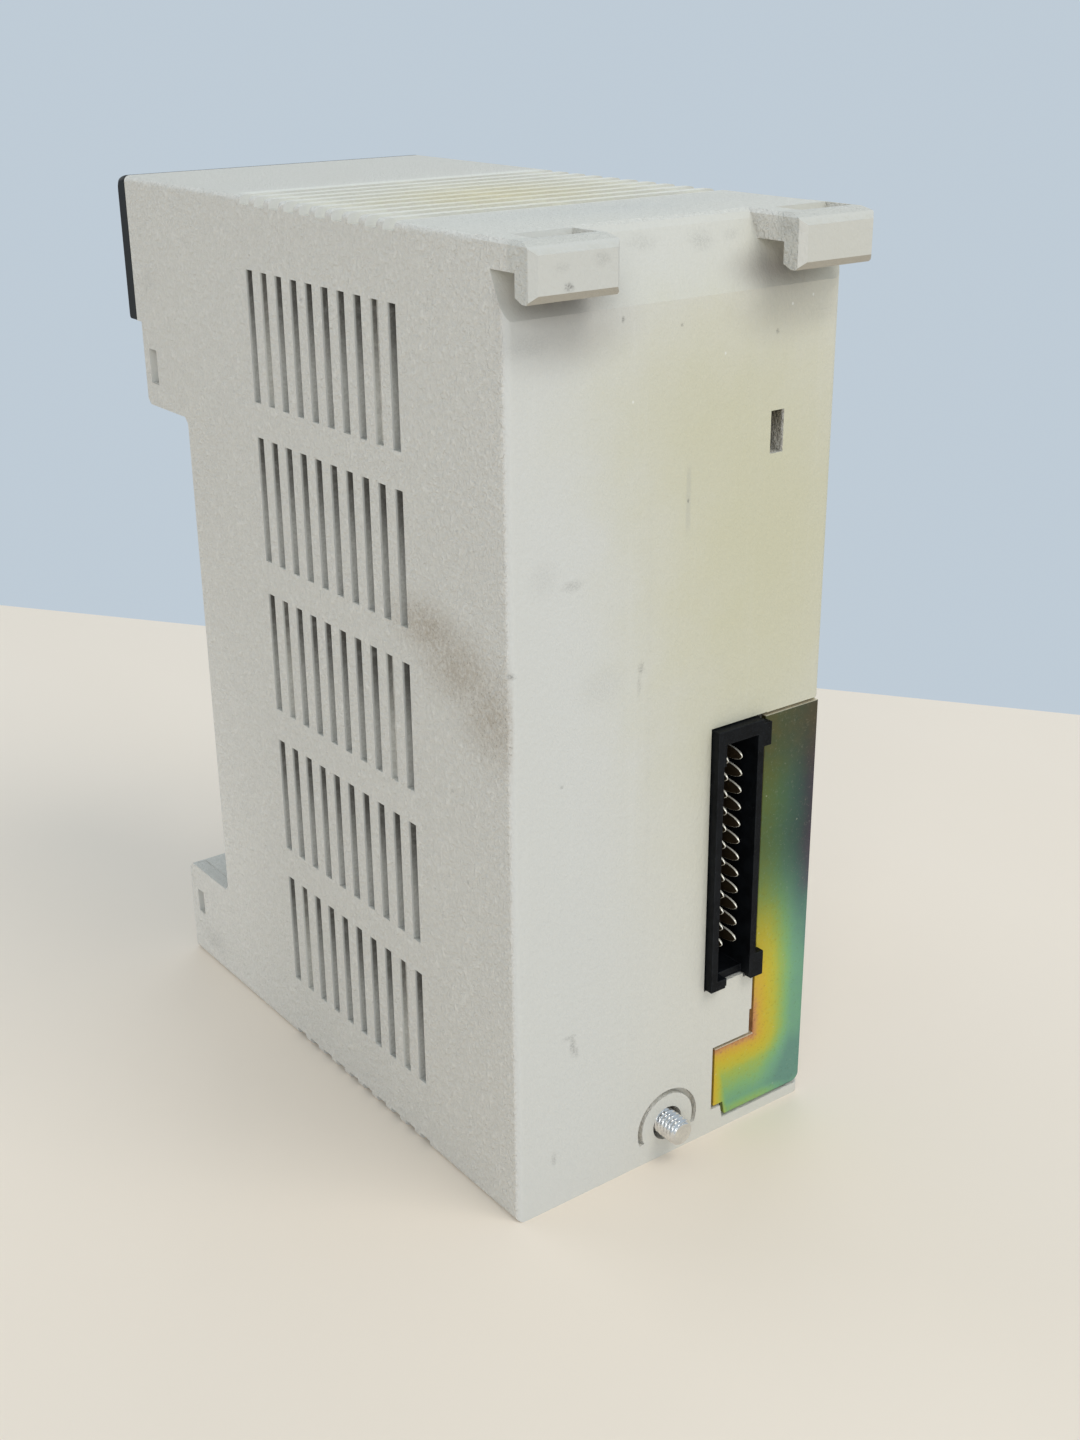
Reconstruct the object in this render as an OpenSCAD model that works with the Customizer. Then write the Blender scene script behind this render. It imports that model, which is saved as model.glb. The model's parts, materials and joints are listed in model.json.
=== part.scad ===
// Rack-mounted power module for a programmable controller.
// Stands on its bottom face. +Z is up, +Y is the side that meets the rack
// (hooks, backplane connector, earth plate), -Y is the operator's side.
//
// Every sub-part is drawn in the module's own drawing frame:
//   x = distance in from the vented side, y = distance from the back plane
//   towards the front, z = height.  place() turns that into the part frame.

/* [Case] */
// Width of the moulded case
body_w = 52.6; // [52:0.1:54]
// Height of the case
body_h = 130; // [130:0.5:132]
// Thickness of the case walls
wall = 2.2; // [1.8:0.1:2.3]
// Radius of the upright rear edges
edge_r = 1.2; // [0.6:0.1:1.8]
// Radius of the long top and bottom edges
top_r = 0.9; // [0.5:0.1:1.5]
// Height at which the back face starts to slope forward
slope_z = 121; // [118:0.5:124]
// How far the slope runs forward at the top
slope_d = 3.7; // [2:0.1:4.5]

/* [Front] */
// Depth of the upper front face
head_d = 94.7; // [94:0.1:95.5]
// Height of the underside of the upper front
head_z = 96.3; // [95:0.1:98]
// Depth of the seat of the dark indicator panel
seat_d = 96.2; // [96:0.1:96.5]
// Height of the lower edge of the indicator panel
panel_z = 108.8; // [107:0.1:110]
// Thickness of the indicator panel
panel_t = 2.6; // [2:0.1:3]
// Depth of the recessed terminal face
recess_d = 81.5; // [80.5:0.1:82]
// Depth of the foot
foot_d = 95.7; // [95.5:0.1:96]
// Height of the foot
foot_z = 16.8; // [16:0.1:18]

/* [Vents] */
// Slots in each group
slot_n = 10; // [4:1:10]
// Groups of slots, one above the other
slot_groups = 5; // [2:1:5]
// Slot width
slot_w = 1.76; // [1.4:0.02:2]
// Slot pitch
slot_p = 3.97; // [3.8:0.01:4]
// Slot height
slot_h = 18; // [14:0.5:18.5]
// Pitch of the groups
group_p = 22.93; // [22:0.01:23]
// Depth of the closed slots
blind_d = 0.9; // [0.4:0.1:1.2]
// Width of the grooves in the top and bottom
groove_w = 2.5; // [2:0.1:2.8]
// Depth of those grooves
groove_d = 1.2; // [0.8:0.1:1.4]

/* [Hooks] */
// How far the hooks stand out behind the back plane
hook_out = 5.3; // [5:0.1:6]
// Width of each hook
hook_w = 12.6; // [11:0.1:13]
// Thickness of the hook's nose
hook_t = 3.2; // [2.8:0.1:3.4]
// Underside of the hook's arm
hook_arm_z = 126.6; // [126:0.1:127.5]
// Lowest point of the hook's nose
hook_tip_z = 123.4; // [122.5:0.1:124]

/* [Backplane connector] */
// Contacts in each row
pin_n = 12; // [6:1:12]
// Contact pitch
pin_p = 2.54; // [2.5:0.01:2.54]
// How far the shroud stands out of the back
shroud_out = 1.4; // [1:0.1:2]

/* [Captive screw] */
// Thread radius of the mounting screw
screw_r = 2; // [1.9:0.1:2]
// How far the screw's tip stands out of the back at rest
screw_tip = 3.4; // [2:0.1:4]
// Radius of the slim neck behind the thread, which keeps the washers on
neck_r = 1.55; // [1.2:0.05:1.6]
// Radius of the hole that the thread passes
screw_hole_r = 2.6; // [2.4:0.1:2.8]
// Radius of the driver tunnel
tunnel_r = 3.8; // [3.6:0.1:3.9]

/* [Terminals] */
// Number of terminals
term_n = 8; // [4:1:8]
// Terminal pitch
term_p = 7.6; // [7:0.1:7.6]

/* [Hidden] */

W = body_w; H = body_h;
back_y = 46.75;                       // the back plane's place along +Y
front_d = seat_d + panel_t;
slot0 = 23.05;                        // middle of the rearmost slot
slot_z0 = 10.65;                      // foot of the lowest group
scr_x = W/2; scr_z = 5.25;            // captive screw's axis
con_x = 36.5; con_z = 45.33;          // middle of the contact field
brd_x = 46; brd_t = 1.6;              // main board: face towards the vents, thickness
blk_x0 = 12; blk_x1 = 39; blk_s = 92; // terminal block
blk_z0 = 19.5; blk_z1 = 93.5;
hinge_x = 41.6; hinge_y = 91.9;       // cover's hinge
fn = 48;

function slot_y(k) = slot0 + slot_p*k;
function term_z(i) = 56.5 + (i - (term_n-1)/2)*term_p;
function blind(g, k) = (g % 2 == 0) && (k == 1 || k == slot_n-2);
function link_up(i) = i < 2 ? 0.8 : 0;
// component leads that pass through the main board: depth, height, hole radius
lead_holes = concat(
  [for (y = [35, 57], d = [-3.5, 3.5]) [y, 101+d, 0.55]],
  [for (z = [86, 95, 104], d = [-1.5, 1.5]) [21.9, z+d, 0.4]],
  [for (z = [79.5, 83, 85.5, 89]) [64.5, z, 0.6]],
  [for (y = [33.5, 38.75, 44]) [y, 41.3, 0.7]],
  [for (z = [79, 93], d = [2.5, 5.1, 7.7]) [12.05, z+d, 0.6]],
  [for (y = [25.6, 54.4], z = [58:4:74]) [y, z, 0.6]],
  [for (a = [-1, 1]) [27+3*a, 22.5, 0.6]],
  [for (y = [47, 57], z = [25, 31]) [y, z, 0.5]],
  [for (z = [84.5, 88.5]) [52.6, z, 0.5]],
  [for (y = [30, 36], z = [85, 88]) [y, z, 0.45]],
  [for (y = [31.2, 33.74, 36.28, 38.82, 47.2, 49.7, 51.8, 57.2, 59.8], z = [113.9, 119.5]) [y, z, 0.42]]);

module place() translate([W/2, back_y, 0]) rotate([0, 0, 180]) children();
// a (depth, height) outline pushed along the width
module along_x(x0, x1) translate([x0, 0, 0]) rotate([90, 0, 90]) linear_extrude(x1 - x0) children();
// a (width, height) outline pushed along the depth
module along_y(y0, y1) translate([0, y1, 0]) rotate([90, 0, 0]) linear_extrude(y1 - y0) children();
module bx(x0, x1, y0, y1, z0, z1) translate([x0, y0, z0]) cube([x1-x0, y1-y0, z1-z0]);
module cyl_x(x0, x1, y, z, r) translate([x0, y, z]) rotate([0, 90, 0]) cylinder(h = x1-x0, r = r, $fn = fn);
module cyl_y(y0, y1, x, z, r) translate([x, y1, z]) rotate([90, 0, 0]) cylinder(h = y1-y0, r = r, $fn = fn);
module cyl_z(z0, z1, x, y, r) translate([x, y, z0]) cylinder(h = z1-z0, r = r, $fn = fn);
// rectangle with four true arcs
module rrect(x0, x1, y0, y1, r) union() {
  translate([x0+r, y0]) square([x1-x0-2*r, y1-y0]);
  translate([x0, y0+r]) square([x1-x0, y1-y0-2*r]);
  for (x = [x0+r, x1-r], y = [y0+r, y1-r]) translate([x, y]) circle(r, $fn = fn);
}

// ---------------------------------------------------------------- rear case
module side_outline() polygon([
  [0, 0], [foot_d, 0], [foot_d, foot_z-1.2], [foot_d-1.1, foot_z],
  [recess_d+0.9, foot_z], [recess_d, foot_z+0.9], [recess_d, head_z-0.9],
  [recess_d+0.9, head_z], [head_d-0.8, head_z], [head_d, head_z+0.8],
  [head_d, panel_z], [seat_d, panel_z], [seat_d, H],
  [slope_d+1.2, H], [slope_d+0.45, H-0.35], [slope_d-0.1, H-1.1], [0, slope_z]]);

module case_envelope() intersection() {
  along_x(0, W) side_outline();
  linear_extrude(H) union() {
    translate([0, 20]) square([W, 100]);
    rrect(0, W, 0, 60, edge_r);
  }
  along_y(-1, 120) rrect(0, W, 0, H, top_r);
}
module case_cavity() along_x(wall, W-wall) polygon([
  [2.4, wall], [130, wall], [130, H-wall], [slope_d+1.6, H-wall], [2.4, slope_z-0.4]]);

module vents(x0, through) for (g = [0:slot_groups-1], k = [0:slot_n-1])
  if (blind(g, k)) {
    if (!through) bx(x0 < 1 ? -1 : W-blind_d, x0 < 1 ? blind_d : W+1,
      slot_y(k)-slot_w/2, slot_y(k)+slot_w/2, slot_z0+g*group_p, slot_z0+g*group_p+slot_h);
  } else if (through)
    bx(x0-1, x0+wall+1, slot_y(k)-slot_w/2, slot_y(k)+slot_w/2, slot_z0+g*group_p, slot_z0+g*group_p+slot_h);

module grooves() for (k = [0:slot_n-1]) {
  bx(-1, W+1, slot_y(k)-groove_w/2, slot_y(k)+groove_w/2, H-groove_d, H+1);
  bx(-1, W+1, slot_y(k)-groove_w/2, slot_y(k)+groove_w/2, -1, groove_d);
  // open slots in the floor of each groove
  for (x = [6, W/2+1]) bx(x, x+W/2-7, slot_y(k)-0.8, slot_y(k)+0.8, H-wall-1, H);
  for (x = [5, W/2+6.5]) bx(x, x+W/2-11.5, slot_y(k)-0.8, slot_y(k)+0.8, -1, wall+1);
}

// plate outline; g is the clearance all round
module plate_outline(g = 0) union() {
  difference() {
    polygon([[42.4-g, 63.9+g], [52.3+2*g, 63.9+g], [52.3+2*g, 2.1-g], [37.3-g, 2.1-g], [36.9-g, 4.3-g],
             [35.1-g, 4.3-g], [35.1-g, 13.9+g], [42.4-g, 13.9+g]]);
    if (g == 0) difference() {
      translate([51.0, 1]) square([3, 2.4]);
      translate([51.0, 3.4]) circle(1.3, $fn = fn);
    }
  }
  if (g > 0) translate([41.6, 13.4]) square([2, 4.8]);
}

module hook(x0) difference() {
  union() {
    // arm reaching out from the slope
    bx(x0, x0+hook_w, -2.4, slope_d+2.2, hook_arm_z, H);
    // nose hanging down behind the rack's rail
    bx(x0, x0+hook_w, -hook_out, hook_t-hook_out, hook_tip_z, H);
  }
  // bevels of the nose: top rear, bottom rear, bottom front
  along_x(x0-1, x0+hook_w+1) polygon([[-hook_out-1, H+1], [-hook_out-1, H-2.2], [-hook_out, H-1.3], [-hook_out+1.0, H-0.45], [-hook_out+2.4, H], [-hook_out+2.4, H+1]]);
  along_x(x0-1, x0+hook_w+1) polygon([[-hook_out-1, hook_tip_z-1], [-hook_out-1, hook_tip_z+1], [-hook_out, hook_tip_z+1], [-hook_out+1.1, hook_tip_z], [-hook_out+1.1, hook_tip_z-1]]);
  along_x(x0-1, x0+hook_w+1) polygon([[-2.1+0.01, hook_tip_z-1], [-2.1+0.01, hook_tip_z+0.6], [-3.4, hook_tip_z], [-3.4, hook_tip_z-1]]);
  // upright bevels of the nose
  for (m = [0, 1]) translate([m*(2*x0+hook_w), 0, 0]) mirror([m, 0, 0])
    linear_extrude(H+2) polygon([[x0-1, -hook_out-1], [x0-1, -hook_out+0.8], [x0, -hook_out+0.8], [x0+0.8, -hook_out], [x0+0.8, -hook_out-1]]);
  // small bevels along the sides of the top
  for (m = [0, 1]) translate([m*(2*x0+hook_w), 0, 0]) mirror([m, 0, 0])
    along_y(-hook_out-1, slope_d+3) polygon([[x0-1, H+1], [x0-1, H-0.5], [x0, H-0.5], [x0+0.5, H], [x0+0.5, H+1]]);
  // wedge-shaped coring pocket in the top
  along_x(x0+3.1, x0+hook_w-0.8) polygon([[-1.6, H+1], [-1.6, H], [2.9, H-1.1], [2.9, H+1]]);
}

module rear_case() color([0.80, 0.79, 0.73]) union() {
  difference() {
    case_envelope();
    case_cavity();
    vents(0, true);
    vents(W-wall, true);
    vents(0, false);
    vents(W-wall, false);
    grooves();
    // latch windows in both cheeks
    bx(-1, W+1, 90.4, 92.9, 99.8, 105);
    bx(-1, W+1, 91.3, 93.4, 8.2, 12.4);
    // back: small window, connector opening, plate recess, tab slots
    bx(41.1, 43.3, -1, 4, 100.1, 105.6);
    bx(32.6, 41.1, -1, 4, 24.8, 64.4);
    bx(32.6, 35.7, -1, 4, 24.4, 26);
    bx(41, 42.6, -1, 4, 59.9, 64.4);
    bx(40, 42.8, -1, 4, 24.2, 28.6);
    along_y(-1, 1.0) plate_outline(0.45);
    for (z = [9.4, 58.4]) bx(44.6, 49.4, -1, 4, z-0.2, z+1.1);
    // hole for the captive screw and the relief arc around it
    cyl_y(-1, 4, scr_x, scr_z, screw_hole_r);
    difference() {
      cyl_y(-1, 1.1, scr_x, scr_z, 5.45);
      cyl_y(-2, 2, scr_x, scr_z, 4.65);
      bx(scr_x-8, scr_x+8, -2, 2, -1, scr_z-1.9);
    }
    // driver tunnel runs a little into the floor
    cyl_y(3.0, 100, scr_x, scr_z, tunnel_r);
  }
  difference() {
    union() {
      cyl_y(2.3, 93.4, scr_x, scr_z, tunnel_r+0.9);
      bx(scr_x-tunnel_r-0.9, scr_x+tunnel_r+0.9, 2.3, 93.4, 1.6, scr_z);
    }
    cyl_y(3.0, 94, scr_x, scr_z, tunnel_r);
    cyl_y(1, 4, scr_x, scr_z, screw_hole_r);
  }
  // bosses that carry the main board
  for (y = [17, 67], z = [19, 115]) difference() {
    cyl_x(brd_x+brd_t+0.05, W-wall+0.1, y, z, 3);
    cyl_x(brd_x-1, W-wall-0.6, y, z, 1.25);
  }
  // ribs behind the closed slots
  for (g = [0:2:slot_groups-1], k = [1, slot_n-2])
    bx(wall-0.1, wall+3, slot_y(k)-1.0, slot_y(k)+1.0, slot_z0+g*group_p, slot_z0+g*group_p+slot_h);
  hook(0);
  hook(W-hook_w);
}

// -------------------------------------------------------------- front bezel
module front_bezel() color([0.79, 0.78, 0.72]) difference() {
  union() {
    along_x(wall+0.1, W-wall-0.1) polygon([
      [seat_d, H-wall-0.1], [seat_d, panel_z], [head_d, panel_z], [head_d, head_z+0.8], [head_d-0.8, head_z],
      [recess_d, head_z], [recess_d, foot_z], [foot_d-1.1, foot_z], [foot_d, foot_z-1.2], [foot_d, wall+0.1],
      [foot_d-2, wall+0.1], [foot_d-2, foot_z-2], [recess_d-2, foot_z-2], [recess_d-2, head_z+2],
      [head_d-2, head_z+2], [head_d-2, panel_z+2], [seat_d-2, panel_z+2], [seat_d-2, H-wall-0.1]]);
    // flanges with the latches that snap into the case's windows
    for (m = [0, 1]) translate([m*W, 0, 0]) mirror([m, 0, 0]) {
      bx(wall+0.1, wall+1.6, 85.5, head_d-1, head_z+1, panel_z+3);
      bx(wall+0.1, wall+1.6, 85.5, foot_d-1, wall+0.4, foot_z-1);
      along_z_wedge(90.6, 92.7, 100.0, 104.8);
      along_z_wedge(91.5, 93.2, 8.4, 12.2);
    }
    // pegs that carry the indicator board
    for (x = [12, W-12]) cyl_y(86.0, seat_d-1, x, 116, 2.2);
  }
  // openings: terminal legs, light, panel pegs, driver tunnel
  bx(29.2, 32.2, recess_d-3, recess_d+1, blk_z0+6, blk_z1-6);
  for (z = [23, 90]) cyl_y(recess_d-3, recess_d+1, 35, z, 1.3);
  cyl_y(seat_d-3, seat_d+1, W/2, 121, 1.75);
  for (x = [7, W-7]) cyl_y(seat_d-3, seat_d+1, x, 121, 1.3);
  cyl_y(foot_d-14.1, foot_d+1, scr_x, scr_z, tunnel_r+1.0);
  for (x = [12, W-12]) cyl_y(85, 91, x, 116, 0.9);
}
module along_z_wedge(y0, y1, z0, z1) translate([0, 0, z0]) linear_extrude(z1-z0)
  polygon([[wall+0.2, y0], [wall+0.2, y1], [1.6, y1], [0.7, y0+0.5], [0.7, y0]]);

module indicator_panel() color([0.07, 0.08, 0.085]) difference() {
  union() {
    intersection() {
      along_x(0, W) union() {
        translate([seat_d, panel_z+0.5]) square([panel_t, H-2.2-panel_z-0.5]);
        translate([seat_d, panel_z]) square([panel_t-0.5, H-panel_z]);
        translate([front_d-0.5, panel_z+0.5]) circle(0.5, $fn = fn);
        intersection() {
          translate([front_d-2.2, H-2.2]) circle(2.2, $fn = fn);
          translate([seat_d, H-4]) square([10, 10]);
        }
      }
      along_x(0, W) union() {
        translate([seat_d, panel_z]) square([panel_t-2.2, H-panel_z]);
        translate([seat_d, panel_z]) square([panel_t, H-2.2-panel_z]);
        translate([front_d-2.2, H-2.2]) circle(2.2, $fn = fn);
      }
      along_y(seat_d-1, front_d+1) rrect(0, W, panel_z-5, H, top_r);
    }
    for (x = [7, W-7]) cyl_y(seat_d-2.4, seat_d+0.5, x, 121, 1.25);
  }
  cyl_y(seat_d-1, front_d+1, W/2, 121, 1.75);
}
module indicator_lens() color([0.35, 0.75, 0.35]) union() {
  cyl_y(92.4, front_d-0.3, W/2, 121, 1.68);
  cyl_y(92.4, 94.0, W/2, 121, 2.3);
}
module indicator_led() color([0.55, 0.85, 0.55]) union() {
  cyl_y(86.4, 87.6, W/2, 121, 1.9);
  cyl_y(87.6, 90.6, W/2, 121, 1.5);
  translate([W/2, 90.6, 121]) sphere(1.5, $fn = fn);
  for (x = [-0.6, 0.6]) bx(W/2+x-0.2, W/2+x+0.2, 83.2, 86.4, 120.8, 121.2);
}
module indicator_board() color([0.13, 0.33, 0.20]) difference() {
  bx(6, 45.6, 84.4, 86.0, 101, 125.5);
  for (x = [12, W-12]) cyl_y(84, 87, x, 116, 1.0);
  for (x = [-0.6, 0.6]) bx(W/2+x-0.25, W/2+x+0.25, 84, 87, 120.75, 121.25);
  for (z = [105, 108, 111]) bx(42.3, 43.1, 84, 87, z-0.4, z+0.4);
}

// ---------------------------------------------------------------- terminals
module terminal_block() color([0.13, 0.13, 0.14]) difference() {
  union() {
    bx(blk_x0, blk_x1, recess_d, blk_s, blk_z0, blk_z1);
    // ears of the cover's hinge
    for (z = [blk_z0, blk_z1-2.6]) {
      bx(blk_x1-1, hinge_x+2.4, recess_d, 88.5, z, z+2.6);
      bx(hinge_x-2.2, hinge_x+2.2, 88, hinge_y, z, z+2.6);
      cyl_z(z, z+2.6, hinge_x, hinge_y, 2.2);
    }
  }
  cyl_z(blk_z0+0.5, blk_z0+4, hinge_x, hinge_y, 1.05);
  cyl_z(blk_z1-4, blk_z1-0.5, hinge_x, hinge_y, 1.05);
  // wire chambers, open towards the side
  for (i = [0:term_n-1]) {
    bx(blk_x0-1, 30.6, 86, 100, term_z(i)-3, term_z(i)+3);
    cyl_y(recess_d+0.6, 87, 22, term_z(i), 1.6);
    bx(29.6, 30.6, recess_d-1, 87, term_z(i)-1.6, term_z(i)+1.6);
  }
  // the link passes through the first barrier
  bx(20, 24, 86, 90, term_z(0), term_z(1));
  // fixing screws
  for (z = [23, 90]) {
    cyl_y(recess_d-1, 100, 35, z, 1.6);
    cyl_y(87, 100, 35, z, 3.0);
  }
  // label bed
  bx(32.2, 37.6, blk_s-0.4, blk_s+1, 30, 83);
}
module terminal_block_screws() color([0.75, 0.76, 0.77]) for (z = [23, 90]) difference() {
  union() {
    cyl_y(77, 87.0, 35, z, 1.25);
    cyl_y(87.0, 89.2, 35, z, 2.7);
  }
  bx(34.6, 35.4, 88.3, 90, z-2, z+2);
  bx(33, 37, 88.3, 90, z-0.4, z+0.4);
}
module terminal_contacts() color([0.78, 0.72, 0.50]) for (i = [0:term_n-1]) difference() {
  union() {
    bx(14, 30.5, 86, 87, term_z(i)-2.6, term_z(i)+2.6);
    bx(29.7, 30.5, 71, 86.5, term_z(i)-1.5, term_z(i)+1.5);
    cyl_y(82.6, 86.5, 22, term_z(i), 1.55);
  }
  cyl_y(82, 88, 22, term_z(i), 1.3);
}
module terminal_washers() color([0.72, 0.73, 0.74]) for (i = [0:term_n-1]) difference() {
  bx(18.9, 25.1, 87+link_up(i), 87.9+link_up(i), term_z(i)-2.7, term_z(i)+2.7);
  cyl_y(86, 90, 22, term_z(i), 1.35);
}
module terminal_screws() color([0.76, 0.77, 0.78]) for (i = [0:term_n-1]) difference() {
  union() {
    cyl_y(82.8+link_up(i), 88+link_up(i), 22, term_z(i), 1.25);
    cyl_y(87.9+link_up(i), 90.0+link_up(i), 22, term_z(i), 2.6);
  }
  bx(19, 25, 89.2+link_up(i), 92, term_z(i)-0.4, term_z(i)+0.4);
  bx(21.6, 22.4, 89.2+link_up(i), 92, term_z(i)-2, term_z(i)+2);
}
module voltage_selector_link() color([0.80, 0.68, 0.38]) difference() {
  bx(20.2, 23.8, 87, 87.8, term_z(0)-2.2, term_z(1)+2.2);
  for (i = [0, 1]) cyl_y(86, 90, 22, term_z(i), 1.35);
}
module terminal_cover() color([0.55, 0.58, 0.60, 0.5]) union() {
  difference() {
    bx(10.4, hinge_x, 92.6, 93.9, blk_z0+3, blk_z1-3);
    // finger notch in the free edge
    cyl_y(90, 96, 10.4, 56.5, 4);
  }
  // lip down the free side, short of the block
  difference() {
    bx(10.4, 11.5, 88.4, 93.9, blk_z0+3, blk_z1-3);
    cyl_x(9, 13, 93.9, 56.5, 4);
  }
  for (z = [blk_z0+3, blk_z1-8]) cyl_z(z, z+5, hinge_x, hinge_y, 2.0);
  bx(hinge_x-1.4, hinge_x+0.6, hinge_y, 93.9, blk_z0+3, blk_z1-3);
  cyl_z(blk_z0+0.8, blk_z0+4, hinge_x, hinge_y, 1.0);
  cyl_z(blk_z1-4, blk_z1-0.8, hinge_x, hinge_y, 1.0);
}
module terminal_board() color([0.12, 0.31, 0.19]) difference() {
  bx(8, 45.6, 72.6, 74.2, 22, 92);
  for (i = [0:term_n-1]) bx(29.6, 30.6, 72, 75, term_z(i)-1.6, term_z(i)+1.6);
  for (z = [46:4:78]) bx(42.3, 43.1, 72, 75, z-0.1, z+0.7);
}
module board_link_headers() color([0.10, 0.10, 0.11]) union() {
  bx(41.4, 45.95, 68.0, 72.55, 44, 80);
  for (z = [46:4:78]) bx(42.4, 43.0, 71, 75.2, z, z+0.6);
  for (z = [46:4:78]) bx(44, 48.4, 69.4, 70.0, z, z+0.6);
  bx(41.4, 45.95, 79.4, 84.35, 104, 112);
  for (z = [105, 108, 111]) bx(42.4, 43.0, 83, 86.8, z-0.3, z+0.3);
  for (z = [105, 108, 111]) bx(44, 48.4, 80.8, 81.4, z-0.3, z+0.3);
  bx(41.4, 45.95, 9.65, 14.0, 30, 60);
  for (z = [32:4:58]) bx(42.4, 43.0, 7.2, 11, z, z+0.6);
  for (z = [32:4:58]) bx(44, 48.4, 12.6, 13.2, z, z+0.6);
}

// ------------------------------------------------------------------- boards
module main_board() color([0.13, 0.34, 0.20]) difference() {
  union() {
    bx(brd_x, brd_x+brd_t, 11, 72, 13, 121);
    bx(brd_x, brd_x+brd_t, 71, 84, 99.5, 121);
  }
  for (y = [17, 67], z = [19, 115]) cyl_x(brd_x-1, brd_x+3, y, z, 1.6);
  for (z = [46:4:78]) bx(brd_x-1, brd_x+3, 69.3, 70.1, z-0.1, z+0.7);
  for (z = [105, 108, 111]) bx(brd_x-1, brd_x+3, 80.7, 81.5, z-0.4, z+0.4);
  for (z = [32:4:58]) bx(brd_x-1, brd_x+3, 12.5, 13.3, z-0.1, z+0.7);
  for (h = lead_holes) translate([brd_x-1, h[0], h[1]]) rotate([0, 90, 0]) cylinder(h = 4, r = h[2], $fn = 24);
}
module board_screws() color([0.74, 0.75, 0.76]) {
 for (x = [12, W-12]) union() {
   cyl_y(82.7, 84.4, x, 116, 1.9);
   cyl_y(84.3, 90, x, 116, 0.85);
 }
 for (y = [17, 67], z = [19, 115]) difference() {
  union() {
    cyl_x(brd_x, brd_x+3.6, y, z, 1.2);
    cyl_x(brd_x-2.0, brd_x, y, z, 2.7);
  }
  bx(brd_x-3, brd_x-1.2, y-0.4, y+0.4, z-2, z+2);
  bx(brd_x-3, brd_x-1.2, y-2, y+2, z-0.4, z+0.4);
 }
}
module insulation_sheet() color([0.55, 0.60, 0.57]) difference() {
  bx(49.0, 49.4, 10, 72, 11.5, 123);
  for (y = [17, 67], z = [19, 115]) cyl_x(48, 51, y, z, 3.2);
}

// --------------------------------------------------------- backplane side
module backplane_connector() color([0.06, 0.065, 0.07]) difference() {
  union() {
    bx(32.75, 40.95, -shroud_out, 8.0, 25.0, 64.2);
    // key ears on the rim
    bx(40.2, 42.3, -shroud_out, -0.1, 60.2, 63.6);
    bx(40.2, 42.5, -shroud_out, -0.1, 24.5, 28.3);
    bx(32.75, 35.4, -shroud_out, 3.0, 24.7, 28.0);
  }
  // socket, with the keying step left in its upper corner
  difference() {
    bx(33.85, 39.9, -shroud_out-1, 5.0, 26.2, 62.2);
    bx(33.0, 34.5, -shroud_out+0.3, 6, 58.9, 63);
  }
  bx(35.6, 39.9, -shroud_out-1, 0.4, 24, 27);
  for (c = [-0.5, 0.5], i = [0:pin_n-1])
    bx(con_x+c*2.54-0.34, con_x+c*2.54+0.34, 4, 9, con_z+(i-(pin_n-1)/2)*pin_p-0.34, con_z+(i-(pin_n-1)/2)*pin_p+0.34);
}
module connector_pins() color([0.83, 0.72, 0.42]) for (c = [-0.5, 0.5], i = [0:pin_n-1])
  translate([con_x+c*2.54, 0, con_z+(i-(pin_n-1)/2)*pin_p]) {
    bx(-0.32, 0.32, -0.35, 11.0, -0.32, 0.32);
    along_y(-0.6, -0.35) square([0.4, 0.4], center = true);
  }
module connector_board() color([0.12, 0.31, 0.19]) difference() {
  bx(20, 45.6, 8.0, 9.6, 20, 72);
  for (c = [-0.5, 0.5], i = [0:pin_n-1])
    bx(con_x+c*2.54-0.4, con_x+c*2.54+0.4, 7, 11, con_z+(i-(pin_n-1)/2)*pin_p-0.4, con_z+(i-(pin_n-1)/2)*pin_p+0.4);
  for (z = [32:4:58]) bx(42.3, 43.1, 7, 11, z-0.1, z+0.7);
}
module earth_plate() color([0.76, 0.66, 0.30]) union() {
  along_y(0.0, 0.9) plate_outline(0);
  for (z = [9.4, 58.4]) bx(44.8, 49.2, 0.5, 7.2, z, z+0.9);
}
module earth_strap() color([0.80, 0.70, 0.45]) union() {
  bx(44.8, 49.2, 4.2, 9.0, 10.35, 11.0);
  bx(48.6, 49.2, 7.5, 71.9, 4.4, 11.0);
  bx(41.0, 49.2, 71.5, 72.1, 4.4, 11.0);
  bx(41.0, 45.4, 71.5, 72.1, 10.4, 30.0);
  bx(41.0, 45.4, 72.0, 72.58, 24.0, 30.0);
}

// ----------------------------------------------------------- captive screw
module mounting_screw() color([0.80, 0.81, 0.82]) difference() {
  union() {
    cyl_y(-screw_tip+0.7, -0.05, scr_x, scr_z, screw_r);
    cyl_y(-0.06, 3.0, scr_x, scr_z, screw_r-0.3);
    cyl_y(-screw_tip, -screw_tip+0.71, scr_x, scr_z, screw_r-0.45);
    cyl_y(2.9, 5.5, scr_x, scr_z, neck_r);
    cyl_y(5.45, 8.05, scr_x, scr_z, 3.4);
  }
  bx(scr_x-0.45, scr_x+0.45, 6.8, 9, scr_z-2.2, scr_z+2.2);
  bx(scr_x-2.2, scr_x+2.2, 6.8, 9, scr_z-0.45, scr_z+0.45);
}
module flat_washer() color([0.78, 0.79, 0.80]) difference() {
  cyl_y(3.6, 4.38, scr_x, scr_z, 3.5);
  cyl_y(3, 5, scr_x, scr_z, neck_r+0.08);
}
module spring_washer() color([0.70, 0.71, 0.73]) difference() {
  cyl_y(4.4, 5.4, scr_x, scr_z, 3.2);
  cyl_y(4, 6, scr_x, scr_z, neck_r+0.08);
  translate([scr_x, 4.9, scr_z+2.6]) rotate([0, 0, 35]) cube([0.5, 4, 2], center = true);
}
module screw_retainer() color([0.86, 0.85, 0.80]) difference() {
  cyl_y(14.0, 16.6, scr_x, scr_z, tunnel_r-0.03);
  cyl_y(13, 18, scr_x, scr_z, 2.7);
}

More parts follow.
